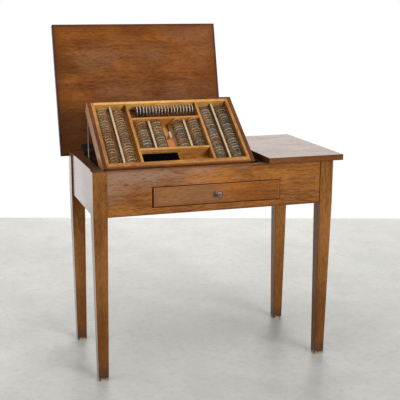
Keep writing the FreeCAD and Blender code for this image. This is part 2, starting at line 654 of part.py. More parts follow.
def build_tray_walls():
    """Return the tray's outer walls, bottom and pale liner by name, level."""
    inner_left = TRAY_LEFT_X + TRAY_WALL
    inner_right = TRAY_RIGHT_X - TRAY_WALL
    inner_front = TRAY_FRONT_Y + TRAY_FRONT_WALL
    inner_rear = TRAY_REAR_Y - TRAY_REAR_WALL
    liner_top = TRAY_TOP - LINER_DROP
    return {
        "tray_left": box(TRAY_LEFT_X, inner_left, TRAY_FRONT_Y, TRAY_REAR_Y, TRAY_UNDER, TRAY_TOP),
        "tray_right": box(inner_right, TRAY_RIGHT_X, TRAY_FRONT_Y, TRAY_REAR_Y, TRAY_UNDER, TRAY_TOP),
        "tray_front": box(inner_left, inner_right, TRAY_FRONT_Y, inner_front, TRAY_UNDER, TRAY_TOP),
        "tray_rear": box(inner_left, inner_right, inner_rear, TRAY_REAR_Y, TRAY_UNDER, TRAY_TOP),
        "tray_bottom": box(inner_left, inner_right, inner_front, inner_rear, TRAY_UNDER, TRAY_FLOOR),
        "liner_left": box(inner_left, ROOM_LEFT, inner_front, inner_rear, TRAY_FLOOR, liner_top),
        "liner_right": box(ROOM_RIGHT, inner_right, inner_front, inner_rear, TRAY_FLOOR, liner_top),
        "liner_front": box(ROOM_LEFT, ROOM_RIGHT, inner_front, ROOM_FRONT, TRAY_FLOOR, liner_top),
        "liner_rear": box(ROOM_LEFT, ROOM_RIGHT, ROOM_REAR, inner_rear, TRAY_FLOOR, liner_top),
    }


def build_dividers():
    """Return the tray's dividers, the spacer block and the black case by name, level."""
    long_top = TRAY_TOP - DIVIDER_DROP
    cross_top = TRAY_TOP - CROSS_DIVIDER_DROP
    case_x = MIDDLE_LEFT_X + CASE_INSET
    case_y = ROOM_FRONT + (FRONT_ROOM_LENGTH - CASE_LENGTH) / 2
    return {
        "divider_left": box(
            LEFT_DIVIDER_X, MIDDLE_LEFT_X, ROOM_FRONT, ROOM_REAR, TRAY_FLOOR, long_top
        ),
        "divider_right": box(
            MIDDLE_RIGHT_X, RIGHT_BLOCK_X, ROOM_FRONT, ROOM_REAR, TRAY_FLOOR, long_top
        ),
        "cross_divider_upper": box(
            MIDDLE_LEFT_X, MIDDLE_RIGHT_X, UPPER_CROSS_Y, TOP_ROOM_Y, TRAY_FLOOR, cross_top
        ),
        "cross_divider_lower": box(
            MIDDLE_LEFT_X, MIDDLE_RIGHT_X, LOWER_CROSS_Y, MIDDLE_FRONT_Y, TRAY_FLOOR, cross_top
        ),
        "spacer_block": box(
            SPACER_X, RIGHT_RACK_X, MIDDLE_FRONT_Y, MIDDLE_FRONT_Y + SPACER_LENGTH,
            TRAY_FLOOR, TRAY_FLOOR + SPACER_HEIGHT,
        ),
        "lens_case": eased_board(
            case_x, case_x + CASE_WIDTH, case_y, case_y + CASE_LENGTH,
            TRAY_FLOOR, TRAY_FLOOR + CASE_HEIGHT, CASE_ARRIS,
        ),
    }


def places_along(start, end, pitch):
    """Return as many evenly spaced places as fit between two ends."""
    count = int((end - start) / pitch + SAME_PLACE) + 1
    return [start + pitch * place for place in range(count)]


class LensBlock:
    """A slotted rack with one pair of lens columns and the wall between them."""

    def __init__(self, x0, x1, y0, y1, rows, gaps):
        self.x0 = x0
        self.x1 = x1
        self.y0 = y0
        self.y1 = y1
        self.rows = rows
        before, after, beside, _ = gaps
        self.wall_x = x0 + before + LENS_COLUMN + after
        self.columns = (
            x0 + before + LENS_RADIUS,
            self.wall_x + STRIP_WALL_WIDTH + beside + LENS_RADIUS,
        )

    def lenses(self):
        """Return every lens of the block, each standing across the tray."""
        half = LENS_THICKNESS / 2
        return [
            rod_y(y - half, y + half, x, LENS_CENTRE_Z, LENS_RADIUS)
            for x in self.columns
            for y in self.rows
        ]

    def rack(self):
        """Return the slotted base with the wall between its columns."""
        base = box(self.x0, self.x1, self.y0, self.y1, TRAY_FLOOR, TRAY_FLOOR + RACK_HEIGHT)
        half = LENS_THICKNESS / 2 + SLOT_CLEARANCE
        reach = LENS_RADIUS + SLOT_CLEARANCE
        slots = [
            box(
                x - reach, x + reach, y - half, y + half,
                TRAY_FLOOR + SLOT_FLOOR, TRAY_FLOOR + RACK_HEIGHT,
            )
            for x in self.columns
            for y in self.rows
        ]
        wall = box(
            self.wall_x, self.wall_x + STRIP_WALL_WIDTH, self.y0, self.y1,
            TRAY_FLOOR, TRAY_FLOOR + STRIP_WALL_HEIGHT,
        )
        return fused([base.cut(slots), wall])

    def strip(self):
        """Return the blank number strip on top of the wall."""
        z0 = TRAY_FLOOR + STRIP_WALL_HEIGHT
        return box(
            self.wall_x, self.wall_x + STRIP_WALL_WIDTH, self.y0, self.y1, z0, z0 + STRIP_THICKNESS
        )


def top_row():
    """Return the rack and the lenses of the single row at the rear, which stand along the tray."""
    centre_y = ROOM_REAR - TOP_ROW_BEHIND - LENS_RADIUS
    places = places_along(MIDDLE_LEFT_X + TOP_ROW_LEFT, MIDDLE_RIGHT_X - TOP_ROW_RIGHT, TOP_ROW_PITCH)
    half = LENS_THICKNESS / 2
    slot_half = half + SLOT_CLEARANCE
    reach = LENS_RADIUS + SLOT_CLEARANCE
    base = box(
        MIDDLE_LEFT_X, MIDDLE_RIGHT_X, TOP_ROOM_Y, ROOM_REAR, TRAY_FLOOR, TRAY_FLOOR + RACK_HEIGHT
    )
    slots = [
        box(
            x - slot_half, x + slot_half, centre_y - reach, centre_y + reach,
            TRAY_FLOOR + SLOT_FLOOR, TRAY_FLOOR + RACK_HEIGHT,
        )
        for x in places
    ]
    lenses = [rod_x(x - half, x + half, centre_y, LENS_CENTRE_Z, LENS_RADIUS) for x in places]
    return base.cut(slots), lenses


def build_lenses():
    """Return the racks, number strips and lenses by name, level."""
    long_rows = places_along(
        ROOM_FRONT + LONG_COLUMN_FRONT, ROOM_REAR - LONG_COLUMN_REAR, LONG_COLUMN_PITCH
    )
    middle_rows = places_along(
        MIDDLE_FRONT_Y + MIDDLE_COLUMN_FRONT, UPPER_CROSS_Y - MIDDLE_COLUMN_REAR, MIDDLE_COLUMN_PITCH
    )
    blocks = {
        "left": LensBlock(
            ROOM_LEFT, LEFT_DIVIDER_X, ROOM_FRONT, ROOM_REAR, long_rows, LEFT_BLOCK_GAPS
        ),
        "right": LensBlock(
            RIGHT_BLOCK_X, ROOM_RIGHT, ROOM_FRONT, ROOM_REAR, long_rows, RIGHT_BLOCK_GAPS
        ),
        "middle_left": LensBlock(
            MIDDLE_LEFT_X, SPACER_X, MIDDLE_FRONT_Y, UPPER_CROSS_Y, middle_rows, MIDDLE_LEFT_GAPS
        ),
        "middle_right": LensBlock(
            RIGHT_RACK_X, MIDDLE_RIGHT_X, MIDDLE_FRONT_Y, UPPER_CROSS_Y, middle_rows, MIDDLE_RIGHT_GAPS
        ),
    }
    parts = {"lens_rack_" + name: block.rack() for name, block in blocks.items()}
    parts["number_strips"] = group([block.strip() for block in blocks.values()])
    parts["lenses_left"] = group(blocks["left"].lenses())
    parts["lenses_right"] = group(blocks["right"].lenses())
    middle = blocks["middle_left"].lenses() + blocks["middle_right"].lenses()
    parts["lenses_middle"] = group(middle)
    rack, lenses = top_row()
    parts["lens_rack_top"] = rack
    parts["lenses_top"] = group(lenses)
    return parts


def tray_apron_leaf(x0):
    """Return the apron's leaf of a tray hinge with its two barrels."""
    spans = hinge_thirds(x0, TRAY_HINGE_LENGTH)
    plate_y = -APRON_INNER_Y
    under = TRAY_AXIS_Z - TRAY_BARREL_RADIUS
    pieces = [box(
        x0, x0 + TRAY_HINGE_LENGTH, plate_y, plate_y + TRAY_LEAF_THICKNESS,
        under - TRAY_LEAF_HEIGHT, under - BARREL_END_GAP,
    )]
    for start, end in (spans[0], spans[2]):
        pieces.append(box(
            start, end, plate_y, plate_y + TRAY_LEAF_THICKNESS, under - BARREL_END_GAP, TRAY_AXIS_Z
        ))
        pieces.append(rod_x(start, end, TRAY_AXIS_Y, TRAY_AXIS_Z, TRAY_BARREL_RADIUS))
    hole = rod_x(x0, x0 + TRAY_HINGE_LENGTH, TRAY_AXIS_Y, TRAY_AXIS_Z, TRAY_PIN_RADIUS)
    return fused(pieces).cut(hole)


def tray_leaf(x0):
    """Return the tray's cranked leaf of a tray hinge: barrel, web and plate."""
    start, end = hinge_thirds(x0, TRAY_HINGE_LENGTH)[1]
    plate_y = TRAY_FRONT_Y - TRAY_LEAF_THICKNESS
    half_web = TRAY_WEB_THICKNESS / 2
    pieces = [
        rod_x(start, end, TRAY_AXIS_Y, TRAY_AXIS_Z, TRAY_BARREL_RADIUS),
        box(start, end, TRAY_AXIS_Y, plate_y, TRAY_AXIS_Z - half_web, TRAY_AXIS_Z + half_web),
        box(
            x0, x0 + TRAY_HINGE_LENGTH, plate_y, TRAY_FRONT_Y,
            TRAY_AXIS_Z - TRAY_LEAF_HEIGHT, TRAY_AXIS_Z + half_web,
        ),
    ]
    radius = TRAY_PIN_RADIUS + PIN_CLEARANCE
    return fused(pieces).cut(rod_x(start, end, TRAY_AXIS_Y, TRAY_AXIS_Z, radius))


def prop_bracket():
    """Return the bracket under the tray that carries the prop's pin."""
    half = PROP_EYE_WIDTH / 2 + BRACKET_GAP
    outer = half + BRACKET_THICKNESS
    y0 = PROP_PIN_Y - BRACKET_LENGTH / 2
    y1 = PROP_PIN_Y + BRACKET_LENGTH / 2
    under = PROP_PIN_Z - PROP_EYE_RADIUS
    return fused([
        box(PROP_X - outer, PROP_X + outer, y0, y1, TRAY_UNDER - BRACKET_THICKNESS, TRAY_UNDER),
        box(PROP_X - outer, PROP_X - half, y0, y1, under, TRAY_UNDER),
        box(PROP_X + half, PROP_X + outer, y0, y1, under, TRAY_UNDER),
        rod_x(PROP_X - outer, PROP_X + outer, PROP_PIN_Y, PROP_PIN_Z, PROP_PIN_RADIUS),
    ])


def build_tray_fittings():
    """Return the tray's hinge leaves and the prop's bracket by name, level."""
    return {
        "tray_hinge_tray_leaves": group([tray_leaf(x0) for x0 in TRAY_HINGE_STARTS]),
        "prop_bracket": prop_bracket(),
    }


def build_prop():
    """Return the prop rod, upright under the raised tray, and its catch in the well, by name."""
    half = PROP_EYE_WIDTH / 2
    y = RAISED_PIN_Y
    eyes = [
        rod_x(PROP_X - half, PROP_X + half, y, RAISED_PIN_Z, PROP_EYE_RADIUS),
        rod_x(PROP_X - half, PROP_X + half, y, PROP_FOOT_Z, PROP_EYE_RADIUS),
    ]
    stem = Part.makeCylinder(PROP_RADIUS, PROP_LENGTH, FreeCAD.Vector(PROP_X, y, PROP_FOOT_Z), ALONG_Z)
    pin_hole = rod_x(PROP_X - half, PROP_X + half, y, RAISED_PIN_Z, PROP_PIN_RADIUS + PIN_CLEARANCE)
    foot_hole = rod_x(PROP_X - half, PROP_X + half, y, PROP_FOOT_Z, CATCH_EYE_RADIUS)
    rod = fused(eyes + [stem]).cut([pin_hole, foot_hole])
    wall = -PANEL_INNER_X
    tip = PROP_X - half - BRACKET_GAP
    catch = fused([
        rod_x(wall, wall + CATCH_FLANGE_THICKNESS, y, PROP_FOOT_Z, CATCH_FLANGE_RADIUS),
        rod_x(wall, tip - CATCH_TIP_LENGTH, y, PROP_FOOT_Z, CATCH_SHAFT_RADIUS),
        rod_x(wall, tip, y, PROP_FOOT_Z, CATCH_TIP_RADIUS),
    ])
    return {"prop_rod": rod, "prop_catch": catch}


def turned(parts, y, z, angle):
    """Return parts turned about an axis along X."""
    centre = FreeCAD.Vector(0, y, z)
    done = {}
    for name, shape in parts.items():
        copy = shape.copy()
        copy.rotate(centre, ALONG_X, angle)
        done[name] = copy
    return done


def build_desk():
    """Return every piece of the desk by name, in the stored pose."""
    parts = {}
    parts.update(build_legs())
    parts.update(build_frame())
    parts.update(build_top())
    parts.update(build_frame_hinges())
    parts.update(build_drawer())
    parts.update(build_prop())
    parts.update(turned(build_lid(), LID_AXIS_Y, LID_AXIS_Z, -LID_OPENING))
    tray = {}
    tray.update(build_tray_walls())
    tray.update(build_dividers())
    tray.update(build_lenses())
    tray.update(build_tray_fittings())
    parts.update(turned(tray, TRAY_AXIS_Y, TRAY_AXIS_Z, TRAY_TILT))
    return parts


def main():
    """Write one file for each piece, with the origin below the middle of the desk."""
    os.makedirs("parts", exist_ok=True)
    shift = FreeCAD.Vector(0, -ORIGIN_Y, 0)
    parts = build_desk()
    for name, shape in parts.items():
        shape.translate(shift)
        shape.exportStep("parts/" + name + ".step")
    print("pieces", len(parts))
    print("lid axis y z", round(LID_AXIS_Y - ORIGIN_Y, 3), round(LID_AXIS_Z, 3), "opening", LID_OPENING)
    print("tray axis y z", round(TRAY_AXIS_Y - ORIGIN_Y, 3), round(TRAY_AXIS_Z, 3))
    print("prop pin x y z", round(PROP_X, 3), round(RAISED_PIN_Y - ORIGIN_Y, 3), round(RAISED_PIN_Z, 3))
    print("origin y", round(ORIGIN_Y, 3), "well floor top", round(WELL_FLOOR_TOP, 3))


main()
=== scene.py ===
"""Dresses an optician's trial-lens desk: stained oak, a tray of rimmed lenses, hinges and a drawer.

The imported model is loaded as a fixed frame. Boards are copies of its solids with eased edges and a wood
finish, and lenses, knob, screws and slips are modelled here in the places that the solids give.
"""
from __future__ import annotations

import json
import logging
import math
import random
from collections.abc import Callable, Iterable
from dataclasses import dataclass
from enum import Enum

import bmesh
import bpy
from mathutils import Matrix, Vector

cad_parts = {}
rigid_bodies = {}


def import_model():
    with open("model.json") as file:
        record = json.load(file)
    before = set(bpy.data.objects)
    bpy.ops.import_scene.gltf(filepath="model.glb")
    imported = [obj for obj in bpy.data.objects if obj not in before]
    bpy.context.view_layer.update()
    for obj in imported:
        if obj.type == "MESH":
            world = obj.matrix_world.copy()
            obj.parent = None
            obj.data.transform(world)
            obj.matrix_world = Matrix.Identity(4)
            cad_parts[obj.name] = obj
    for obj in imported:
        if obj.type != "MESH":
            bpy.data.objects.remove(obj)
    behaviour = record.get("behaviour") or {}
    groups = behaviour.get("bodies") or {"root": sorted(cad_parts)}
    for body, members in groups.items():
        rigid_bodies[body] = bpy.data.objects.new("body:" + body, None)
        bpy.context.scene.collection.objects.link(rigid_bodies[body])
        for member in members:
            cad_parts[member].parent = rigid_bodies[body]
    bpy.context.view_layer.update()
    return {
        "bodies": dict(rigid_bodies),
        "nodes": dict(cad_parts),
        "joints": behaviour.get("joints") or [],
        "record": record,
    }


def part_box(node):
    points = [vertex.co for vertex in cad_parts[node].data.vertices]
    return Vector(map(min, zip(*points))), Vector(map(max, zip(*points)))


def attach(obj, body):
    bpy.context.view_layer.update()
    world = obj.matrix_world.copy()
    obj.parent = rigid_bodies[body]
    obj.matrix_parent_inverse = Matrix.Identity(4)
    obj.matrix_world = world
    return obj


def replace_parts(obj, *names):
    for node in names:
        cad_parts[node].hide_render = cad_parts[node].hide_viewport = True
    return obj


LOG = logging.getLogger("lens_desk")

MM = 0.001
FULL_TURN = 2.0 * math.pi
QUARTER_TURN = math.pi / 2.0
WELD = 1e-6
SAME_WAY = 0.9
TRAY_TILT = 36.0
EDGE_LAYER = "edge"
ORIGIN = (0.0, 0.0, 0.0)
UP = Vector((0.0, 0.0, 1.0))
DOWN = Vector((0.0, 0.0, -1.0))
LEFT = Vector((-1.0, 0.0, 0.0))
FRONT = Vector((0.0, -1.0, 0.0))
LEVEL = Matrix.Identity(4)

VECTOR = "NodeSocketVector"
COLOUR = "NodeSocketColor"
NUMBER = "NodeSocketFloat"

Colour = tuple[float, float, float]
Box = tuple[Vector, Vector]
Node = bpy.types.Node
Socket = bpy.types.NodeSocket
Sockets = bpy.types.bpy_prop_collection
Material = bpy.types.Material
Mesh = bmesh.types.BMesh
Points = list[bmesh.types.BMVert]


class Grain(Enum):
    """The turn, in degrees, that brings a board's fibres onto X for its finish."""

    ACROSS = (0.0, 0.0, 0.0)
    DEEP = (0.0, 0.0, -90.0)
    UPRIGHT = (0.0, 90.0, 0.0)
    TRAY_DEEP = (-TRAY_TILT, 0.0, -90.0)


class Stance(Enum):
    """Which way the lenses of a row stand in the level tray."""

    ACROSS_TRAY = "y"
    ALONG_TRAY = "x"


@dataclass(frozen=True)
class Cloud:
    """A cloudy pattern: how fine it is, on all axes or on each, and how strong its finer layers are."""

    scale: float | Colour
    detail: float
    rough: float = 0.55


@dataclass(frozen=True)
class Ramp:
    """A range of values, and the range that it is moved to."""

    low: float
    high: float
    start: float = 0.0
    end: float = 1.0


def rgba(colour: Colour) -> tuple[float, float, float, float]:
    """Return a colour with full cover."""
    return (*colour, 1.0)


class Sketch:
    """A node tree with short calls that add and join its nodes."""

    mix_inputs = (0, 6, 7)
    mix_result = 2

    def __init__(self, tree: bpy.types.NodeTree) -> None:
        """Keep the tree that the calls work on."""
        self.tree = tree

    def add(self, kind: str, **settings: object) -> Node:
        """Add a node.

        Args:
            kind: The node's Blender type.
            settings: Properties of the node to set.

        Returns:
            The new node.
        """
        node = self.tree.nodes.new(kind)
        for key, value in settings.items():
            setattr(node, key, value)
        return node

    def feed(self, node: Node, values: Iterable[tuple[str | int, object]]) -> Node:
        """Join sockets to a node's inputs, or set the inputs' own values.

        Args:
            node: The node that takes the values.
            values: Each input's name or place, with a socket, a number, a colour or a vector.

        Returns:
            The same node.
        """
        for key, value in values:
            if isinstance(value, Socket):
                self.tree.links.new(value, node.inputs[key])
            else:
                node.inputs[key].default_value = value
        return node

    def fill(self, node: Node, **values: object) -> Node:
        """Feed a node's inputs by name, with underscores for spaces."""
        return self.feed(node, ((key.replace("_", " "), value) for key, value in values.items()))

    def math(self, kind: str, first: object, second: object = 0.0) -> Socket:
        """Return the result of a sum on two values."""
        return self.feed(self.add("ShaderNodeMath", operation=kind), enumerate((first, second))).outputs[0]

    def vector(self, kind: str, first: object, second: object, result: str = "Vector") -> Socket:
        """Return the result of a sum on two vectors, by the name of the output."""
        node = self.add("ShaderNodeVectorMath", operation=kind)
        return self.feed(node, enumerate((first, second))).outputs[result]

    def parts(self, vector: object) -> Sockets:
        """Return the X, Y and Z of a vector."""
        return self.fill(self.add("ShaderNodeSeparateXYZ"), Vector=vector).outputs

    def moved(self, vector: object, shift: object, turn: object) -> Socket:
        """Return a place that is turned, by radians about X, Y and Z, and then shifted."""
        node = self.add("ShaderNodeMapping")
        return self.fill(node, Vector=vector, Location=shift, Rotation=turn).outputs[0]

    def noise(self, vector: object, cloud: Cloud) -> Socket:
        """Return a cloudy value.

        Args:
            vector: The place to read.
            cloud: The pattern.

        Returns:
            The value's socket, from 0 to 1.
        """
        scale = cloud.scale
        if isinstance(scale, tuple):
            vector = self.vector("MULTIPLY", vector, scale)
            scale = 1.0
        node = self.add("ShaderNodeTexNoise")
        self.fill(node, Vector=vector, Scale=scale, Detail=cloud.detail, Roughness=cloud.rough)
        return node.outputs["Fac"]

    def span(self, value: object, ramp: Ramp) -> Socket:
        """Return a value moved from one range to another and held inside it."""
        sides = (value, ramp.low, ramp.high, ramp.start, ramp.end)
        return self.feed(self.add("ShaderNodeMapRange"), enumerate(sides)).outputs[0]

    def mix(self, share: object, first: object, second: object, kind: str = "MIX") -> Socket:
        """Return a blend of two colours.

        Args:
            share: How much of the second colour there is.
            first: The first colour or socket.
            second: The second colour or socket.
            kind: The blend's type.

        Returns:
            The blended colour's socket.
        """
        node = self.add("ShaderNodeMix", data_type="RGBA", blend_type=kind)
        return self.feed(node, zip(self.mix_inputs, (share, first, second))).outputs[self.mix_result]


class Paint(Sketch):
    """The tree of a material, with its shader and the place on the piece."""

    def __init__(self, material: Material) -> None:
        """Start from a new material's own shader.

        Args:
            material: The new material.
        """
        material.use_nodes = True
        super().__init__(material.node_tree)
        self.shader = self.tree.nodes["Principled BSDF"]
        self.place = self.add("ShaderNodeTexCoord").outputs["Object"]

    def show(self, **values: object) -> None:
        """Feed the shader's inputs by name, with underscores for spaces."""
        self.fill(self.shader, **values)

    def edges(self) -> Socket:
        """Return the mark of the piece's narrow edge faces."""
        return self.add("ShaderNodeAttribute", attribute_name=EDGE_LAYER).outputs["Fac"]

    def emboss(self, height: Socket, depth: float, strength: float) -> None:
        """Give the shader fine relief.

        Args:
            height: The relief's socket.
            depth: The relief's depth in metres.
            strength: How much of it shows.
        """
        bump = self.fill(self.add("ShaderNodeBump"), Height=height, Distance=depth, Strength=strength)
        self.show(Normal=bump.outputs["Normal"])


class EffectGroup:
    """A shader node group that is built once and then placed in materials."""

    name: str
    inputs: dict[str, str]
    outputs: dict[str, str]

    def build(self, sketch: Sketch, taken: Sockets) -> dict[str, Socket]:
        """Draw the group's nodes.

        Args:
            sketch: The group's tree.
            taken: The group's inputs.

        Returns:
            What its outputs give, by name.
        """
        raise NotImplementedError

    def tree(self) -> bpy.types.NodeTree:
        """Build the group at the first call.

        Returns:
            The group's tree.
        """
        found = bpy.data.node_groups.get(self.name)
        if found:
            return found
        tree = bpy.data.node_groups.new(self.name, "ShaderNodeTree")
        for way, sockets in (("INPUT", self.inputs), ("OUTPUT", self.outputs)):
            for label, kind in sockets.items():
                tree.interface.new_socket(label, in_out=way, socket_type=kind)
        sketch = Sketch(tree)
        given = self.build(sketch, sketch.add("NodeGroupInput").outputs)
        sketch.fill(sketch.add("NodeGroupOutput"), **given)
        return tree

    def place(self, sketch: Sketch, **values: object) -> Sockets:
        """Place the group in a material with its own values, and return its outputs."""
        return sketch.fill(sketch.add("ShaderNodeGroup", node_tree=self.tree()), **values).outputs


class WoodFigure(EffectGroup):
    """Grain of a varnished oak board whose fibres run along X, with painted sheen and painted glints."""

    name = "wood_figure"
    # Sheen is a painted reflection colour; Sheen Share and Sheen Bias set how much of it is painted in.
    inputs = {
        "Vector": VECTOR, "Light": COLOUR, "Mid": COLOUR, "Dark": COLOUR, "Pore": COLOUR, "Sheen": COLOUR,
        "Sheen Share": NUMBER, "Sheen Bias": NUMBER, "Ring Share": NUMBER, "Roughness": NUMBER,
    }
    outputs = {"Color": COLOUR, "Roughness": NUMBER, "Height": NUMBER}
    streaks = Cloud((2.2, 30.0, 30.0), 6.0, 0.6)
    streak_ramp = Ramp(0.3, 0.68)
    streak_relief = 0.5
    ring_squash = (0.35, 1.0, 1.0)
    ring_scale = 22.0
    ring_bend = 9.0
    ring_detail = 3.0
    ring_detail_scale = 0.7
    flares = Cloud((7.0, 60.0, 60.0), 4.0, 0.6)
    flare_ramp = Ramp(0.5, 0.72, 0.0, 0.35)
    blotches = Cloud((3.0, 6.5, 6.5), 4.0)
    pale_blotch = Ramp(0.46, 0.7, 0.0, 0.85)
    dark_blotch = Ramp(0.5, 0.3, 0.0, 0.85)
    dull_blotch = Ramp(0.5, 0.3, -0.05, 0.06)
    painted_sheen_patches = Cloud((3.0, 7.0, 7.0), 5.0, 0.62)
    painted_sheen_ramp = Ramp(0.44, 0.62)
    flecks = Cloud((50.0, 330.0, 330.0), 3.0, 0.6)
    dark_fleck = Ramp(0.5, 0.7, 0.0, 0.6)
    # Pale flecks in the sheen colour are painted glints on the varnish.
    painted_glint_fleck = Ramp(0.5, 0.3, 0.0, 0.4)
    pores = Cloud((130.0, 900.0, 900.0), 2.0)
    pore_ramp = Ramp(0.54, 0.7)
    pore_share = 0.4
    pore_dulling = 0.15

    def build(self, sketch: Sketch, taken: Sockets) -> dict[str, Socket]:
        """Draw streaks, growth rings, flecks, pores and broad changes of colour, with painted sheen patches
        and painted glints.

        Args:
            sketch: The group's tree.
            taken: The place, the colours and their shares.

        Returns:
            The wood's colour, roughness and relief.
        """
        place, light, dark, pore, sheen = (taken[key] for key in ("Vector", "Light", "Dark", "Pore", "Sheen"))
        streaks = sketch.noise(place, self.streaks)
        flares = sketch.noise(place, self.flares)
        blotches = sketch.noise(place, self.blotches)
        flecks = sketch.noise(place, self.flecks)
        pores = sketch.span(sketch.noise(place, self.pores), self.pore_ramp)
        # Painted sheen: pale patches that stand in for reflections on the varnish, moved by the painted
        # glare.
        patches = sketch.math("ADD", sketch.noise(place, self.painted_sheen_patches), taken["Sheen Bias"])
        wave = sketch.fill(
            sketch.add("ShaderNodeTexWave", wave_type="RINGS", rings_direction="X"),
            Vector=sketch.vector("MULTIPLY", place, self.ring_squash), Scale=self.ring_scale,
            Distortion=self.ring_bend, Detail=self.ring_detail, Detail_Scale=self.ring_detail_scale,
        )
        colour = sketch.mix(sketch.span(streaks, self.streak_ramp), dark, taken["Mid"])
        layers = (
            (sketch.math("MULTIPLY", wave.outputs["Fac"], taken["Ring Share"]), light),
            (sketch.span(flares, self.flare_ramp), light),
            (sketch.span(blotches, self.pale_blotch), light),
            (sketch.span(blotches, self.dark_blotch), dark),
            (sketch.math("MULTIPLY", sketch.span(patches, self.painted_sheen_ramp), taken["Sheen Share"]), sheen),
            (sketch.span(flecks, self.dark_fleck), pore),
            (sketch.span(flecks, self.painted_glint_fleck), sheen),
            (sketch.math("MULTIPLY", pores, self.pore_share), pore),
        )
        for share, over in layers:
            colour = sketch.mix(share, colour, over)
        dulled = sketch.math("MULTIPLY", pores, self.pore_dulling)
        dulled = sketch.math("ADD", dulled, sketch.span(blotches, self.dull_blotch))
        raised = sketch.math("MULTIPLY", streaks, self.streak_relief)
        return {
            "Color": colour,
            "Roughness": sketch.math("ADD", dulled, taken["Roughness"]),
            "Height": sketch.math("SUBTRACT", raised, pores),
        }


class FloorSoilAndShade(EffectGroup):
    """Painted shade that darkens a leg towards the floor, with dirt and bare wood at its end, by its height
    above the floor in metres.
    """

    name = "floor_soil_and_shade"
    inputs = {"Vector": VECTOR, "Color": COLOUR, "Shade": COLOUR, "Dirt": COLOUR, "Bare": COLOUR}
    outputs = {"Color": COLOUR}
    smudges = Cloud(70.0, 4.0)
    smudge_reach = Ramp(0.2, 0.8, -0.02, 0.02)
    chips = Cloud(170.0, 4.0, 0.65)
    chip_reach = Ramp(0.35, 0.65, -0.008, 0.008)
    shade_ramp = Ramp(0.66, 0.0, 0.0, 0.65)
    dirt_ramp = Ramp(0.06, 0.006, 0.0, 0.92)
    bare_ramp = Ramp(0.009, 0.005, 0.0, 0.85)

    def build(self, sketch: Sketch, taken: Sockets) -> dict[str, Socket]:
        """Draw painted shade that deepens towards the floor, a ragged dirty band, and a bare rim under it.

        Args:
            sketch: The group's tree.
            taken: The place and the colours.

        Returns:
            The soiled colour.
        """
        place = taken["Vector"]
        height = sketch.parts(place)["Z"]
        smudged = sketch.span(sketch.noise(place, self.smudges), self.smudge_reach)
        chipped = sketch.span(sketch.noise(place, self.chips), self.chip_reach)
        # Painted shade: the leg darkens from 0.66 m down to the floor.
        colour = sketch.mix(sketch.span(height, self.shade_ramp), taken["Color"], taken["Shade"])
        dirty = sketch.span(sketch.math("ADD", height, smudged), self.dirt_ramp)
        colour = sketch.mix(dirty, colour, taken["Dirt"])
        bare = sketch.span(sketch.math("ADD", height, chipped), self.bare_ramp)
        return {"Color": sketch.mix(bare, colour, taken["Bare"])}


class BorderShade(EffectGroup):
    """A ragged border inside a board's outline."""

    name = "border_shade"
    inputs = {"Vector": VECTOR, "Low": VECTOR, "High": VECTOR, "Width": NUMBER}
    outputs = {"Share": NUMBER}
    ragged = Cloud((14.0, 14.0, 14.0), 4.0)
    reach = Ramp(0.2, 0.8, 0.35, 1.65)
    fade = Ramp(0.0, 1.0, 1.0, 0.0)

    def build(self, sketch: Sketch, taken: Sockets) -> dict[str, Socket]:
        """Measure how far inside the outline a place lies, and fade over the border's width.

        Args:
            sketch: The group's tree.
            taken: The place, the outline's corners and the border's width.

        Returns:
            The border's share.
        """
        place = taken["Vector"]
        nearest = None
        for sides in ((place, taken["Low"]), (taken["High"], place)):
            for part in sketch.parts(sketch.vector("SUBTRACT", *sides)):
                nearest = sketch.math("MINIMUM", nearest, part) if nearest else part
        reach = sketch.span(sketch.noise(place, self.ragged), self.reach)
        width = sketch.math("MULTIPLY", taken["Width"], reach)
        return {"Share": sketch.span(sketch.math("DIVIDE", nearest, width), self.fade)}


class Tarnish(EffectGroup):
    """Dull patches and fine scratches on plated or blackened metal."""

    name = "tarnish"
    inputs = {"Vector": VECTOR, "Bright": COLOUR, "Dull": COLOUR, "Roughness": NUMBER}
    outputs = {"Color": COLOUR, "Roughness": NUMBER, "Height": NUMBER}
    patches = Cloud(120.0, 5.0, 0.6)
    patch_ramp = Ramp(0.38, 0.66)
    patch_dulling = 0.18
    scratches = Cloud((400.0, 1500.0, 1500.0), 2.0)

    def build(self, sketch: Sketch, taken: Sockets) -> dict[str, Socket]:
        """Draw cloudy tarnish and a fine scratched texture.

        Args:
            sketch: The group's tree.
            taken: The place, the two colours and the roughness.

        Returns:
            The metal's colour, roughness and relief.
        """
        patches = sketch.span(sketch.noise(taken["Vector"], self.patches), self.patch_ramp)
        dulled = sketch.math("MULTIPLY", patches, self.patch_dulling)
        return {
            "Color": sketch.mix(patches, taken["Bright"], taken["Dull"]),
            "Roughness": sketch.math("ADD", taken["Roughness"], dulled),
            "Height": sketch.noise(taken["Vector"], self.scratches),
        }


WOOD_FIGURE = WoodFigure()
FLOOR_SOIL_AND_SHADE = FloorSoilAndShade()
BORDER_SHADE = BorderShade()
TARNISH = Tarnish()


def painted(label: str, draw: Callable[[Paint], None]) -> Material:
    """Make a material at its first use.

    Args:
        label: The material's name.
        draw: Fills the material's tree.

    Returns:
        The material.
    """
    found = bpy.data.materials.get(label)
    if found:
        return found
    material = bpy.data.materials.new(label)
    draw(Paint(material))
    return material


class Finish:
    """A surface that has one material."""

    name: str

    def draw(self, paint: Paint) -> None:
        """Fill the tree of the finish's material."""
        raise NotImplementedError

    def material(self) -> Material:
        """Return the finish's material."""
        return painted(self.name, self.draw)


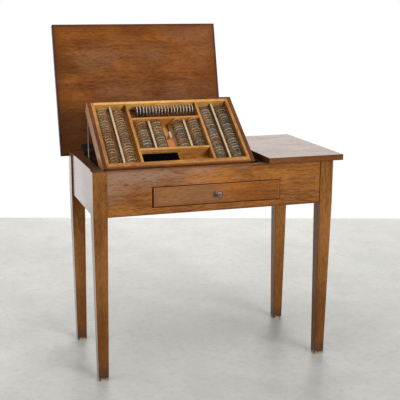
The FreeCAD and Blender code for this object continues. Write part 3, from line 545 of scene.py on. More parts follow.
@dataclass(frozen=True)
class Border:
    """A board's outline, for a finish that darkens towards the board's edges."""

    node: str
    low: Vector
    high: Vector
    width: float
    share: float
    level: Matrix
    colour: Colour | None

    def shade(self, paint: Paint) -> Socket:
        """Draw the border on a board.

        Args:
            paint: The tree of the board's material.

        Returns:
            How strong the border is.
        """
        back = self.level.inverted()
        place = paint.moved(paint.place, back.to_translation(), back.to_euler())
        shade = BORDER_SHADE.place(paint, Vector=place, Low=self.low, High=self.high, Width=self.width)
        return paint.math("MULTIPLY", shade["Share"], self.share)


@dataclass(frozen=True)
class PaintedGlare:
    """A painted glare: a soft pale patch of painted reflection that fades along one direction of a board."""

    way: Colour
    ramp: Ramp

    def share(self, paint: Paint) -> Socket:
        """Return what the painted glare adds to the painted sheen at a place on the board."""
        return paint.span(paint.vector("DOT_PRODUCT", paint.place, self.way, "Value"), self.ramp)


@dataclass(frozen=True)
class WoodFinish:
    """A stain and varnish for boards."""

    name: str
    light: Colour
    mid: Colour
    dark: Colour
    pore: Colour
    edge: Colour
    edge_share: float = 0.5
    roughness: float = 0.3
    gloss: float = 0.16
    ring_share: float = 0.3
    # sheen: a pale colour painted into the wood in patches, standing in for reflections on the varnish.
    sheen: Colour = (0.3, 0.19, 0.13)
    painted_sheen_share: float = 0.0
    painted_glare: PaintedGlare | None = None
    glaze: float = 0.0
    glaze_roughness: float = 0.2
    glaze_range: tuple[float, float] = (0.55, 0.8)
    scuffs: float = 0.0
    scuff_cloud: Cloud = Cloud((11.0, 26.0, 26.0), 6.0, 0.7)
    scuff_range: tuple[float, float] = (0.5, 0.68)
    soiled_and_shaded: bool = False
    dirt: Colour = (0.035, 0.024, 0.017)
    bare: Colour = (0.36, 0.28, 0.19)
    relief: float = 0.3 * MM
    relief_share: float = 0.35

    def material(
        self, grain: Grain, shift: Colour = ORIGIN, borders: tuple[Border, ...] = ()
    ) -> Material:
        """Return the finish for boards whose grain runs one way.

        Args:
            grain: Which way the fibres run.
            shift: Where the figure is read, so that neighbouring boards differ.
            borders: The outlines of a board that is darker towards its edges.

        Returns:
            The material.
        """
        spot = borders[0].node if borders else "_".join(f"{part:g}" for part in shift)
        label = f"{self.name}_{grain.name.lower()}_{spot}"
        return painted(label, lambda paint: self.draw(paint, grain, shift, borders))

    def coat(self, paint: Paint, place: Socket) -> Socket:
        """Let varnish shine at a grazing angle, and less where it is scuffed.

        Args:
            paint: The material's tree.
            place: The place along the grain.

        Returns:
            The varnish's share.
        """
        facing = paint.add("ShaderNodeLayerWeight").outputs["Facing"]
        glazed = paint.span(facing, Ramp(*self.glaze_range, 0.0, self.glaze))
        if not self.scuffs:
            return glazed
        kept = Ramp(*self.scuff_range, 1.0, 1.0 - self.scuffs)
        return paint.math("MULTIPLY", glazed, paint.span(paint.noise(place, self.scuff_cloud), kept))

    def draw(self, paint: Paint, grain: Grain, shift: Colour, borders: tuple[Border, ...]) -> None:
        """Draw figure, edge colour with its painted arris highlights, dirt and painted shade on soiled
        boards, darker borders and varnish.

        Args:
            paint: The material's tree.
            grain: Which way the fibres run.
            shift: Where the figure is read.
            borders: The outlines that the finish darkens towards.
        """
        place = paint.moved(paint.place, shift, tuple(math.radians(angle) for angle in grain.value))
        figure = WOOD_FIGURE.place(
            paint, Vector=place, Light=rgba(self.light), Mid=rgba(self.mid), Dark=rgba(self.dark),
            Pore=rgba(self.pore), Sheen=rgba(self.sheen), Sheen_Share=self.painted_sheen_share,
            Sheen_Bias=self.painted_glare.share(paint) if self.painted_glare else 0.0,
            Ring_Share=self.ring_share, Roughness=self.roughness,
        )
        # Edge colour on narrow arris faces: wear, and on the paler edge colours also a painted highlight
        # along the arris.
        wear_and_painted_light = paint.math("MULTIPLY", paint.edges(), self.edge_share)
        colour = paint.mix(wear_and_painted_light, figure["Color"], rgba(self.edge))
        if self.soiled_and_shaded:
            colour = FLOOR_SOIL_AND_SHADE.place(
                paint, Vector=paint.place, Color=colour,
                Shade=rgba(self.dark), Dirt=rgba(self.dirt), Bare=rgba(self.bare),
            )["Color"]
        for border in borders:
            colour = paint.mix(border.shade(paint), colour, rgba(border.colour or self.dark))
        if self.glaze:
            paint.show(Coat_Weight=self.coat(paint, place), Coat_Roughness=self.glaze_roughness)
        paint.show(Base_Color=colour, Roughness=figure["Roughness"], Specular_IOR_Level=self.gloss)
        paint.emboss(figure["Height"], self.relief, self.relief_share)


@dataclass(frozen=True)
class MetalFinish(Finish):
    """A plated, drawn or blackened metal."""

    name: str
    bright: Colour
    dull: Colour
    roughness: float
    relief: float = 0.05 * MM
    relief_share: float = 0.3

    def draw(self, paint: Paint) -> None:
        """Draw tarnished metal.

        Args:
            paint: The material's tree.
        """
        wear = TARNISH.place(
            paint, Vector=paint.place,
            Bright=rgba(self.bright), Dull=rgba(self.dull), Roughness=self.roughness,
        )
        paint.show(Base_Color=wear["Color"], Roughness=wear["Roughness"], Metallic=1.0)
        paint.emboss(wear["Height"], self.relief, self.relief_share)


@dataclass(frozen=True)
class LensGlass(Finish):
    """The thin glass of a trial lens, faintly smeared."""

    name: str
    tint: Colour
    cover: float
    smear: Colour = (0.42, 0.38, 0.31)
    smears: Cloud = Cloud(160.0, 4.0)
    smear_range: tuple[float, float] = (0.3, 0.75)
    smear_cover: float = 0.08
    roughness: Ramp = Ramp(0.3, 0.7, 0.03, 0.14)
    bending: float = 1.52

    def draw(self, paint: Paint) -> None:
        """Draw smeared glass.

        Args:
            paint: The material's tree.
        """
        smeared = paint.noise(paint.place, self.smears)
        cover = Ramp(*self.smear_range, self.cover, self.cover + self.smear_cover)
        paint.show(
            Base_Color=paint.mix(smeared, rgba(self.tint), rgba(self.smear)),
            Roughness=paint.span(smeared, self.roughness),
            Alpha=paint.span(smeared, cover),
            IOR=self.bending,
        )


@dataclass(frozen=True)
class StripFinish(Finish):
    """Blank cream celluloid with a plain scale of ticks, yellowed with age."""

    name: str
    clean: Colour
    aged: Colour
    tick: Colour
    pitch: float = 12.6 * MM
    tick_width: float = 0.12
    tick_share: float = 0.55
    stains: Cloud = Cloud(90.0, 5.0, 0.65)
    stain_ramp: Ramp = Ramp(0.35, 0.7)
    roughness: Ramp = Ramp(0.3, 0.7, 0.38, 0.6)

    def draw(self, paint: Paint) -> None:
        """Draw stained celluloid with ticks along the tray's depth.

        Args:
            paint: The material's tree.
        """
        level = paint.moved(paint.place, ORIGIN, (-math.radians(TRAY_TILT), 0.0, 0.0))
        step = paint.math("FRACT", paint.math("DIVIDE", paint.parts(level)["Y"], self.pitch))
        tick = paint.math("MULTIPLY", paint.math("LESS_THAN", step, self.tick_width), self.tick_share)
        stains = paint.noise(paint.place, self.stains)
        ground = paint.mix(paint.span(stains, self.stain_ramp), rgba(self.clean), rgba(self.aged))
        paint.show(
            Base_Color=paint.mix(tick, ground, rgba(self.tick)), Roughness=paint.span(stains, self.roughness)
        )


@dataclass(frozen=True)
class LeatherFinish(Finish):
    """Black grained leathercloth, rubbed grey along its edges."""

    name: str
    ground: Colour
    rubbed: Colour
    grain_scale: float = 1400.0
    rubs: Cloud = Cloud(200.0, 3.0)
    rub_ramp: Ramp = Ramp(0.4, 0.7)
    roughness: Ramp = Ramp(0.0, 0.8, 0.5, 0.7)
    gloss: float = 0.01
    relief: float = 0.2 * MM
    relief_share: float = 0.5

    def draw(self, paint: Paint) -> None:
        """Draw grained leathercloth.

        Args:
            paint: The material's tree.
        """
        cells = paint.add("ShaderNodeTexVoronoi", feature="SMOOTH_F1")
        grain = paint.fill(cells, Vector=paint.place, Scale=self.grain_scale).outputs["Distance"]
        patches = paint.span(paint.noise(paint.place, self.rubs), self.rub_ramp)
        rub = paint.math("MULTIPLY", paint.edges(), patches)
        paint.show(
            Base_Color=paint.mix(rub, rgba(self.ground), rgba(self.rubbed)),
            Roughness=paint.span(grain, self.roughness), Specular_IOR_Level=self.gloss,
        )
        paint.emboss(grain, self.relief, self.relief_share)


@dataclass(frozen=True)
class ConcreteFinish(Finish):
    """A pale floor with cloudy marks, stains and small scuffs, and painted shade that darkens it towards the
    front.
    """

    name: str
    pale: Colour
    grey: Colour
    wear_and_painted_light: Colour
    stain: Colour
    clouds: Cloud = Cloud(3.2, 8.0, 0.68)
    cloud_ramp: Ramp = Ramp(0.34, 0.66)
    stains: Cloud = Cloud(5.0, 7.0, 0.7)
    stain_ramp: Ramp = Ramp(0.5, 0.7, 0.0, 0.45)
    scuffs: Cloud = Cloud(40.0, 8.0, 0.72)
    scuff_ramp: Ramp = Ramp(0.5, 0.75, 0.0, 0.65)
    near_ramp: Ramp = Ramp(1.9, -0.6, 0.0, 0.53)
    roughness: Ramp = Ramp(0.3, 0.7, 0.3, 0.42)

    def draw(self, paint: Paint) -> None:
        """Draw worn concrete.

        Args:
            paint: The material's tree.
        """
        clouds = paint.noise(paint.place, self.clouds)
        stained = paint.span(paint.noise(paint.place, self.stains), self.stain_ramp)
        scuffed = paint.span(paint.noise(paint.place, self.scuffs), self.scuff_ramp)
        # Painted shade: the floor is multiplied darker towards the front.
        near = paint.span(paint.parts(paint.place)["Y"], self.near_ramp)
        colour = paint.mix(paint.span(clouds, self.cloud_ramp), rgba(self.grey), rgba(self.pale))
        colour = paint.mix(stained, colour, rgba(self.stain))
        colour = paint.mix(scuffed, colour, rgba(self.wear_and_painted_light))
        paint.show(
            Base_Color=paint.mix(near, colour, rgba(self.wear_and_painted_light), "MULTIPLY"),
            Roughness=paint.span(clouds, self.roughness),
        )


BROWN_OAK = WoodFinish(
    name="brown_oak", light=(0.36, 0.13, 0.02), mid=(0.225, 0.078, 0.012), dark=(0.1, 0.03, 0.004),
    pore=(0.055, 0.018, 0.006), edge=(0.07, 0.02, 0.005),
    ring_share=0.25, sheen=(0.32, 0.185, 0.1), painted_sheen_share=0.55,
)
APRON_OAK = WoodFinish(
    name="apron_oak", light=(0.4, 0.144, 0.021), mid=(0.255, 0.087, 0.013), dark=(0.112, 0.033, 0.004),
    pore=(0.06, 0.019, 0.006), edge=(0.07, 0.02, 0.005),
    ring_share=0.25, sheen=(0.285, 0.17, 0.112), painted_sheen_share=0.75,
    # Painted glare: painted reflection on the apron's upper left.
    painted_glare=PaintedGlare((1.0, 0.0, -4.0), Ramp(-3.3, -2.6, 0.22, -0.16)),
)
# The drawer front's pale edge colour is a painted highlight along its rounded arris.
DRAWER_OAK = WoodFinish(
    name="drawer_oak", light=(0.48, 0.165, 0.022), mid=(0.32, 0.104, 0.012), dark=(0.13, 0.037, 0.005),
    pore=(0.065, 0.02, 0.006), edge=(0.5, 0.25, 0.12), edge_share=0.6,
    roughness=0.28, ring_share=0.2, sheen=(0.2, 0.105, 0.052), painted_sheen_share=0.6,
    # Painted glare: painted reflection on the drawer front's left part.
    painted_glare=PaintedGlare((1.0, 0.0, 0.0), Ramp(-0.04, 0.1, 0.2, -0.24)),
)
LID_OAK = WoodFinish(
    name="lid_oak", light=(0.29, 0.093, 0.01), mid=(0.172, 0.051, 0.006), dark=(0.08, 0.021, 0.003),
    pore=(0.042, 0.014, 0.004), edge=(0.03, 0.009, 0.004), edge_share=0.95,
    gloss=0.1, ring_share=0.2, sheen=(0.21, 0.092, 0.042), painted_sheen_share=0.6,
)
PANEL_OAK = WoodFinish(
    name="panel_oak", light=(0.29, 0.1, 0.018), mid=(0.185, 0.06, 0.009), dark=(0.085, 0.025, 0.004),
    pore=(0.055, 0.018, 0.006), edge=(0.06, 0.017, 0.005),
    roughness=0.2, sheen=(0.26, 0.13, 0.065), painted_sheen_share=0.5, glaze=0.64, scuffs=0.45,
)
END_OAK = WoodFinish(
    name="end_oak", light=(0.34, 0.13, 0.024), mid=(0.225, 0.082, 0.014), dark=(0.11, 0.035, 0.006),
    pore=(0.075, 0.026, 0.008), edge=(0.08, 0.024, 0.006),
    roughness=0.22, gloss=0.2, sheen=(0.33, 0.185, 0.1), painted_sheen_share=0.55, glaze=1.0,
)
LEG_OAK = WoodFinish(
    name="leg_oak", light=(0.33, 0.128, 0.024), mid=(0.225, 0.083, 0.014), dark=(0.09, 0.029, 0.005),
    pore=(0.05, 0.018, 0.006), edge=(0.1, 0.034, 0.01), edge_share=0.4, roughness=0.32, gloss=0.12,
    ring_share=0.25, sheen=(0.29, 0.14, 0.05), painted_sheen_share=0.3, glaze=1.0, soiled_and_shaded=True,
)
# Dark wood that paints shade: the well's ledge and faces lying in shadow take it.
WELL_SHADE_OAK = WoodFinish(
    name="well_shade_oak", light=(0.085, 0.032, 0.012), mid=(0.055, 0.019, 0.007), dark=(0.026, 0.009, 0.003),
    pore=(0.02, 0.006, 0.002), edge=(0.05, 0.016, 0.005), edge_share=0.4,
    roughness=0.4, gloss=0.15, sheen=(0.09, 0.045, 0.025), painted_sheen_share=0.2,
)
# Dark brown wood that paints the shadow lines round the drawer.
SEAM_SHADOW_OAK = WoodFinish(
    name="seam_shadow_oak", light=(0.13, 0.034, 0.006), mid=(0.095, 0.023, 0.004), dark=(0.06, 0.014, 0.002),
    pore=(0.04, 0.01, 0.002), edge=(0.1, 0.026, 0.005), edge_share=0.3,
    roughness=0.8, gloss=0.0, sheen=(0.1, 0.03, 0.01), painted_sheen_share=0.2,
)
# Near-black wood that paints the shadow in deep gaps.
GAP_SHADOW_OAK = WoodFinish(
    name="gap_shadow_oak", light=(0.02, 0.009, 0.004), mid=(0.012, 0.005, 0.002), dark=(0.006, 0.002, 0.001),
    pore=(0.004, 0.002, 0.001), edge=(0.016, 0.006, 0.002), edge_share=0.4,
    roughness=0.6, gloss=0.05, sheen=(0.02, 0.01, 0.006), painted_sheen_share=0.2,
)
TRAY_OAK = WoodFinish(
    name="tray_oak", light=(0.17, 0.05, 0.012), mid=(0.11, 0.03, 0.007), dark=(0.055, 0.014, 0.003),
    pore=(0.03, 0.008, 0.002), edge=(0.14, 0.042, 0.01), edge_share=0.4,
    roughness=0.24, gloss=0.12, sheen=(0.12, 0.045, 0.02), painted_sheen_share=0.2,
)
RIM_OAK = WoodFinish(
    name="rim_oak", light=(0.22, 0.074, 0.012), mid=(0.155, 0.05, 0.008), dark=(0.085, 0.025, 0.004),
    pore=(0.055, 0.016, 0.003), edge=(0.14, 0.043, 0.008),
    roughness=0.28, gloss=0.14, sheen=(0.18, 0.07, 0.026), painted_sheen_share=0.3,
)
SIDE_OAK = WoodFinish(
    name="side_oak", light=(0.62, 0.31, 0.13), mid=(0.47, 0.21, 0.075), dark=(0.28, 0.11, 0.034),
    pore=(0.16, 0.06, 0.018), edge=(0.09, 0.026, 0.007), edge_share=0.4,
    sheen=(0.5, 0.27, 0.13), painted_sheen_share=0.4, glaze=0.3,
)
HONEY_OAK = WoodFinish(
    name="honey_oak", light=(0.6, 0.28, 0.055), mid=(0.45, 0.18, 0.03), dark=(0.2, 0.058, 0.007),
    pore=(0.17, 0.055, 0.01), edge=(0.5, 0.23, 0.055), edge_share=0.6,
    roughness=0.34, gloss=0.22, ring_share=0.35, sheen=(0.6, 0.34, 0.12), painted_sheen_share=0.4,
)
LINER_OAK = WoodFinish(
    name="liner_oak", light=(0.43, 0.19, 0.034), mid=(0.315, 0.12, 0.018), dark=(0.14, 0.04, 0.005),
    pore=(0.12, 0.038, 0.007), edge=(0.36, 0.16, 0.034), edge_share=0.6,
    roughness=0.34, gloss=0.22, ring_share=0.35, sheen=(0.5, 0.27, 0.09), painted_sheen_share=0.4,
)
AMBER_OAK = WoodFinish(
    name="amber_oak", light=(0.5, 0.19, 0.028), mid=(0.37, 0.125, 0.015), dark=(0.2, 0.06, 0.008),
    pore=(0.12, 0.035, 0.006), edge=(0.45, 0.2, 0.04), edge_share=0.4,
    roughness=0.34, gloss=0.2, ring_share=0.25, sheen=(0.45, 0.2, 0.05), painted_sheen_share=0.3,
)
# A lighter copy of the liner finish for the rear liner: painted light on its inner face, which faces the
# lamps.
PAINTED_LIT_LINER_OAK = WoodFinish(
    name="painted_lit_liner_oak", light=(0.64, 0.345, 0.085), mid=(0.52, 0.25, 0.05), dark=(0.34, 0.14, 0.025),
    pore=(0.28, 0.11, 0.02), edge=(0.75, 0.45, 0.14),
    roughness=0.34, gloss=0.22, ring_share=0.35, sheen=(0.72, 0.46, 0.18), painted_sheen_share=0.4,
)
RACK_OAK = WoodFinish(
    name="rack_oak", light=(0.315, 0.15, 0.047), mid=(0.22, 0.099, 0.029), dark=(0.108, 0.047, 0.014),
    pore=(0.05, 0.025, 0.01), edge=(0.3, 0.18, 0.08), edge_share=0.3,
    roughness=0.5, gloss=0.15, sheen=(0.26, 0.17, 0.09), painted_sheen_share=0.3,
)
RED_BLOCK = WoodFinish(
    name="red_block", light=(0.42, 0.16, 0.05), mid=(0.33, 0.11, 0.03), dark=(0.2, 0.06, 0.015),
    pore=(0.12, 0.035, 0.01), edge=(0.4, 0.16, 0.06), edge_share=0.3, roughness=0.42, gloss=0.2,
)
PLAIN_PINE = WoodFinish(
    name="plain_pine", light=(0.5, 0.32, 0.16), mid=(0.42, 0.25, 0.115), dark=(0.28, 0.15, 0.06),
    pore=(0.2, 0.1, 0.04), edge=(0.3, 0.18, 0.08), edge_share=0.3, roughness=0.6, gloss=0.2, ring_share=0.5,
)
BLACK_IRON = MetalFinish("black_iron", (0.05, 0.047, 0.045), (0.025, 0.022, 0.02), 0.42)
AGED_BRASS = MetalFinish("aged_brass", (0.56, 0.4, 0.16), (0.24, 0.15, 0.06), 0.32)
DRAWN_STEEL = MetalFinish("drawn_steel", (0.5, 0.48, 0.45), (0.26, 0.24, 0.22), 0.26)
NICKEL = MetalFinish("nickel_plate", (0.36, 0.295, 0.245), (0.04, 0.028, 0.02), 0.1)
COOL_RIMS = (
    MetalFinish("cool_rim_bright", (0.84, 0.75, 0.6), (0.6, 0.52, 0.41), 0.24),
    MetalFinish("cool_rim_grey", (0.6, 0.52, 0.41), (0.38, 0.32, 0.25), 0.3),
    MetalFinish("cool_rim_dark", (0.3, 0.265, 0.215), (0.16, 0.14, 0.11), 0.3),
)
TOP_RIMS = (
    MetalFinish("top_rim_bright", (0.98, 0.93, 0.86), (0.82, 0.75, 0.67), 0.3),
    MetalFinish("top_rim_grey", (0.92, 0.8, 0.69), (0.7, 0.58, 0.48), 0.34),
)
WARM_RIMS = (
    MetalFinish("warm_rim_bright", (0.96, 0.76, 0.5), (0.76, 0.56, 0.34), 0.26),
    MetalFinish("warm_rim_grey", (0.82, 0.6, 0.36), (0.58, 0.4, 0.22), 0.3),
    MetalFinish("warm_rim_dark", (0.58, 0.39, 0.2), (0.36, 0.23, 0.11), 0.3),
)
CLEAR_GLASS = LensGlass("clear_glass", (0.19, 0.165, 0.125), 0.02)
WARM_GLASS = LensGlass("warm_glass", (0.2, 0.13, 0.06), 0.02)
PALE_GLASS = LensGlass("pale_glass", (0.5, 0.38, 0.32), 0.3)
SMOKE_GLASS = LensGlass("smoke_glass", (0.03, 0.033, 0.04), 0.35)
BLACK_GLASS = LensGlass("black_glass", (0.004, 0.004, 0.004), 0.9)
GREEN_GLASS = LensGlass("green_glass", (0.05, 0.16, 0.07), 0.35)
BLUE_GLASS = LensGlass("blue_glass", (0.05, 0.11, 0.22), 0.35)
WARM_GLASSES = 5 * (WARM_GLASS,) + (SMOKE_GLASS,)
COOL_GLASSES = 4 * (CLEAR_GLASS,) + (SMOKE_GLASS, GREEN_GLASS, BLUE_GLASS)
TOP_GLASSES = (CLEAR_GLASS, PALE_GLASS, PALE_GLASS)
AGED_STRIP = StripFinish("aged_strip", (0.46, 0.36, 0.24), (0.33, 0.24, 0.145), (0.12, 0.075, 0.04))
BLACK_LEATHER = LeatherFinish("black_leather", (0.0006, 0.0006, 0.001), (0.004, 0.005, 0.009))
PALE_CONCRETE = ConcreteFinish(
    "pale_concrete", (0.695, 0.687, 0.655), (0.56, 0.555, 0.525), (0.42, 0.422, 0.403), (0.505, 0.47, 0.415)
)


def turn_about(y: float, z: float, angle: float) -> Matrix:
    """Return a turn about an axis along X.

    Args:
        y: The axis's place in depth.
        z: The axis's height.
        angle: The turn in degrees.

    Returns:
        The turn as a matrix.
    """
    axis = Vector((0.0, y, z))
    return Matrix.Translation(axis) @ Matrix.Rotation(math.radians(angle), 4, "X") @ Matrix.Translation(-axis)


def added(bm: Mesh, before: set[bmesh.types.BMVert]) -> Points:
    """Return the points that a mesh has gained."""
    return [vert for vert in bm.verts if vert not in before]


def edges_of(verts: Points) -> list[bmesh.types.BMEdge]:
    """Return the edges at some points, each once."""
    return list(dict.fromkeys(edge for vert in verts for edge in vert.link_edges))


def faces_of(verts: Points) -> list[bmesh.types.BMFace]:
    """Return the faces at some points, each once."""
    return list(dict.fromkeys(face for vert in verts for face in vert.link_faces))


def settle(bm: Mesh) -> None:
    """Order a mesh's faces by their points, so that each run stores them alike.

    Args:
        bm: The mesh.
    """
    bm.verts.index_update()
    ranked = sorted(bm.faces, key=lambda face: sorted(vert.index for vert in face.verts))
    for rank, face in enumerate(ranked):
        face.index = rank
    bm.faces.sort()


def ease(bm: Mesh, edges: list[bmesh.types.BMEdge], arris: float, segments: int) -> None:
    """Round edges of a mesh.

    Args:
        bm: The mesh.
        edges: The edges to round.
        arris: The rounding's width in metres.
        segments: How many faces it has across.
    """
    bmesh.ops.bevel(
        bm, geom=edges, offset=arris, offset_type="OFFSET", affect="EDGES",
        segments=segments, profile=0.5, material=-1, clamp_overlap=True,
    )


def boxed(bm: Mesh, low: Vector, high: Vector) -> Points:
    """Add a box to a mesh.

    Args:
        bm: The mesh.
        low: The box's lowest corner.
        high: The box's highest corner.

    Returns:
        The box's corners.
    """
    made = bmesh.ops.create_cube(bm, size=1.0)["verts"]
    bmesh.ops.scale(bm, vec=high - low, verts=made)
    bmesh.ops.translate(bm, vec=(low + high) / 2.0, verts=made)
    return made


def eased_box(bm: Mesh, low: Vector, high: Vector, arris: float, segments: int = 2) -> None:
    """Add a box with rounded edges to a mesh."""
    ease(bm, edges_of(boxed(bm, low, high)), arris, segments)


def spun(bm: Mesh, profile: list[tuple[float, float]], steps: int, ring: bool = False) -> Points:
    """Spin a profile about Z into a closed turned shape.

    Args:
        bm: The mesh to add to.
        profile: Radius and height of each point, from the axis back to the axis.
        steps: How many faces go round.
        ring: Whether the profile is a loop that stays clear of the axis.

    Returns:
        The shape's points.
    """
    before = set(bm.verts)
    verts = [bm.verts.new((radius, 0.0, height)) for radius, height in profile]
    ends = verts[1:] + verts[:1] if ring else verts[1:]
    edges = [bm.edges.new(pair) for pair in zip(verts, ends)]
    bmesh.ops.spin(
        bm, geom=verts + edges, cent=ORIGIN, axis=UP, dvec=ORIGIN,
        angle=FULL_TURN, steps=steps, use_merge=True, use_duplicate=False,
    )
    bmesh.ops.remove_doubles(bm, verts=added(bm, before), dist=WELD)
    made = added(bm, before)
    bmesh.ops.recalc_face_normals(bm, faces=faces_of(made))
    settle(bm)
    return made


def slotted_head(bm: Mesh, radius: float, slot: float, depth: float, segments: int = 20) -> Points:
    """Add a flat screw head with a slot, its face at the origin and facing +Z.

    Args:
        bm: The mesh to add to.
        radius: The head's radius.
        slot: The slot's width.
        depth: The slot's depth.
        segments: How many edges go round.

    Returns:
        The head's points.
    """
    before = set(bm.verts)
    half = slot / 2.0
    bmesh.ops.create_circle(bm, cap_ends=True, radius=radius, segments=segments)
    for side in (-half, half):
        made = added(bm, before)
        bmesh.ops.bisect_plane(
            bm, geom=made + edges_of(made) + faces_of(made), dist=WELD,
            plane_co=(0.0, side, 0.0), plane_no=(0.0, 1.0, 0.0),
        )
    faces = faces_of(added(bm, before))
    middle = [face for face in faces if abs(face.calc_center_median().y) < half / 2.0]
    grown = bmesh.ops.extrude_face_region(bm, geom=middle)["geom"]
    sunk = [item for item in grown if isinstance(item, bmesh.types.BMVert)]
    bmesh.ops.translate(bm, vec=(0.0, 0.0, -depth), verts=sunk)
    bmesh.ops.delete(bm, geom=middle, context="FACES_ONLY")
    return added(bm, before)


class Workshop:
    """Makes finished pieces from the model's solids and from new meshes."""

    flat_angle = math.radians(0.5)
    sharp_angle = math.radians(50.0)
    narrow_face = 4.0 * MM
    arris_segments = 3

    def __init__(self, frame: dict) -> None:
        """Keep the loaded frame and each node's body and material slot.

        Args:
            frame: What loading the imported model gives.
        """
        self.nodes = frame["nodes"]
        record = frame["record"]
        self.slots = {item["node"]: item["material_slot"] for item in record["subparts"]}
        bodies = record["behaviour"]["bodies"]
        self.bodies = {node: body for body, members in bodies.items() for node in members}
        self.joints = {joint["name"]: joint for joint in frame["joints"]}

    def merged(self, node: str) -> Mesh:
        """Copy a node's mesh, welded and with its flat faces joined.

        Args:
            node: The node to copy.

        Returns:
            The copy.
        """
        bm = bmesh.new()
        bm.from_mesh(self.nodes[node].data)
        bmesh.ops.remove_doubles(bm, verts=bm.verts[:], dist=WELD)
        bmesh.ops.dissolve_limit(
            bm, angle_limit=self.flat_angle, verts=bm.verts[:], edges=bm.edges[:],
            use_dissolve_boundaries=False, delimit=set(),
        )
        return bm

    def islands(self, node: str, level: Matrix) -> list[Box]:
        """Find the box of each separate solid of a node, in level coordinates.

        Args:
            node: The node to read.
            level: The turn that takes level coordinates to the stored pose.

        Returns:
            The lowest and highest corner of each solid.
        """
        bm = self.merged(node)
        back = level.inverted()
        seen: set[int] = set()
        boxes = []
        for start in bm.verts:
            if start.index in seen:
                continue
            seen.add(start.index)
            heap = [start]
            points = []
            while heap:
                vert = heap.pop()
                points.append(back @ vert.co)
                for edge in vert.link_edges:
                    other = edge.other_vert(vert)
                    if other.index not in seen:
                        seen.add(other.index)
                        heap.append(other)
            boxes.append(tuple(Vector([most(axis) for axis in zip(*points)]) for most in (min, max)))
        bm.free()
        return boxes

    def border(
        self, node: str, level: Matrix, width: float, share: float, colour: Colour | None = None
    ) -> Border:
        """Return the outline of a flat board, open across its thickness.

        Args:
            node: The board's node.
            level: The turn that takes level coordinates to the stored pose.
            width: The border's width in metres.
            share: How dark the border is at the edge.
            colour: The border's colour, or nothing for the dark of the finish.

        Returns:
            The outline.
        """
        (low, high), = self.islands(node, level)
        size = high - low
        thin = min(range(len(size)), key=lambda axis: size[axis])
        low[thin] -= size.length
        high[thin] += size.length
        return Border(node, low, high, width, share, level, colour)

    def shade(self, bm: Mesh) -> None:
        """Smooth the narrow faces of a mesh, and mark them as edges for the finish.

        Args:
            bm: The mesh.
        """
        layer = bm.loops.layers.float_color.get(EDGE_LAYER) or bm.loops.layers.float_color.new(EDGE_LAYER)
        for face in bm.faces:
            longest = max(edge.calc_length() for edge in face.edges)
            face.smooth = face.calc_area() / max(longest, WELD) < self.narrow_face
            mark = float(face.smooth)
            for loop in face.loops:
                loop[layer] = rgba((mark, mark, mark))

    def piece(
        self, name: str, bm: Mesh, materials: list[Material], body: str, slot: str
    ) -> bpy.types.Object:
        """Turn a mesh into a finished piece that rides on a body.

        Args:
            name: The piece's name.
            bm: Its mesh, which is freed.
            materials: Its materials, by face index.
            body: The body that it moves with.
            slot: The record's material slot; not used.

        Returns:
            The new object.
        """
        mesh = bpy.data.meshes.new(name)
        bm.to_mesh(mesh)
        bm.free()
        for material in materials:
            mesh.materials.append(material)
        obj = bpy.data.objects.new(name, mesh)
        bpy.context.scene.collection.objects.link(obj)
        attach(obj, body)
        LOG.info("%s: %d faces on %s", name, len(mesh.polygons), body)
        return obj

    def stand_in(self, node: str, bm: Mesh, materials: list[Material]) -> bpy.types.Object:
        """Replace a node with a finished mesh on the same body."""
        obj = self.piece(f"{node}_finished", bm, materials, self.bodies[node], self.slots[node])
        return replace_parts(obj, node)

    def cover(
        self, obj: bpy.types.Object, material: Material, way: Vector,
        below: float = math.inf, least: float = SAME_WAY,
    ) -> None:
        """Give the faces of a piece that look one way another finish.

        Args:
            obj: The piece.
            material: The other finish.
            way: The direction that the faces look in.
            below: The height that they lie under.
            least: How nearly they look that way, as the cosine of the angle.
        """
        obj.data.materials.append(material)
        last = len(obj.data.materials) - 1
        for face in obj.data.polygons:
            if face.normal.dot(way) > least and face.center.z < below:
                face.material_index = last

    def board(self, node: str, material: Material, arris: float = 0.0) -> bpy.types.Object:
        """Replace a node with a copy whose sharp outer edges are eased.

        Args:
            node: The node to copy.
            material: The copy's finish.
            arris: The width of the eased edges in metres.

        Returns:
            The new piece.
        """
        bm = self.merged(node)
        outer = [edge for edge in bm.edges if len(edge.link_faces) == 2 and edge.is_convex]
        sharp = [edge for edge in outer if edge.calc_face_angle() > self.sharp_angle]
        if sharp and arris > 0.0:
            ease(bm, sharp, arris, self.arris_segments)
        self.shade(bm)
        return self.stand_in(node, bm, [material])

    def boards(self, nodes: Iterable[str], material: Material, arris: float = 0.0) -> None:
        """Finish several nodes alike."""
        for node in nodes:
            self.board(node, material, arris)


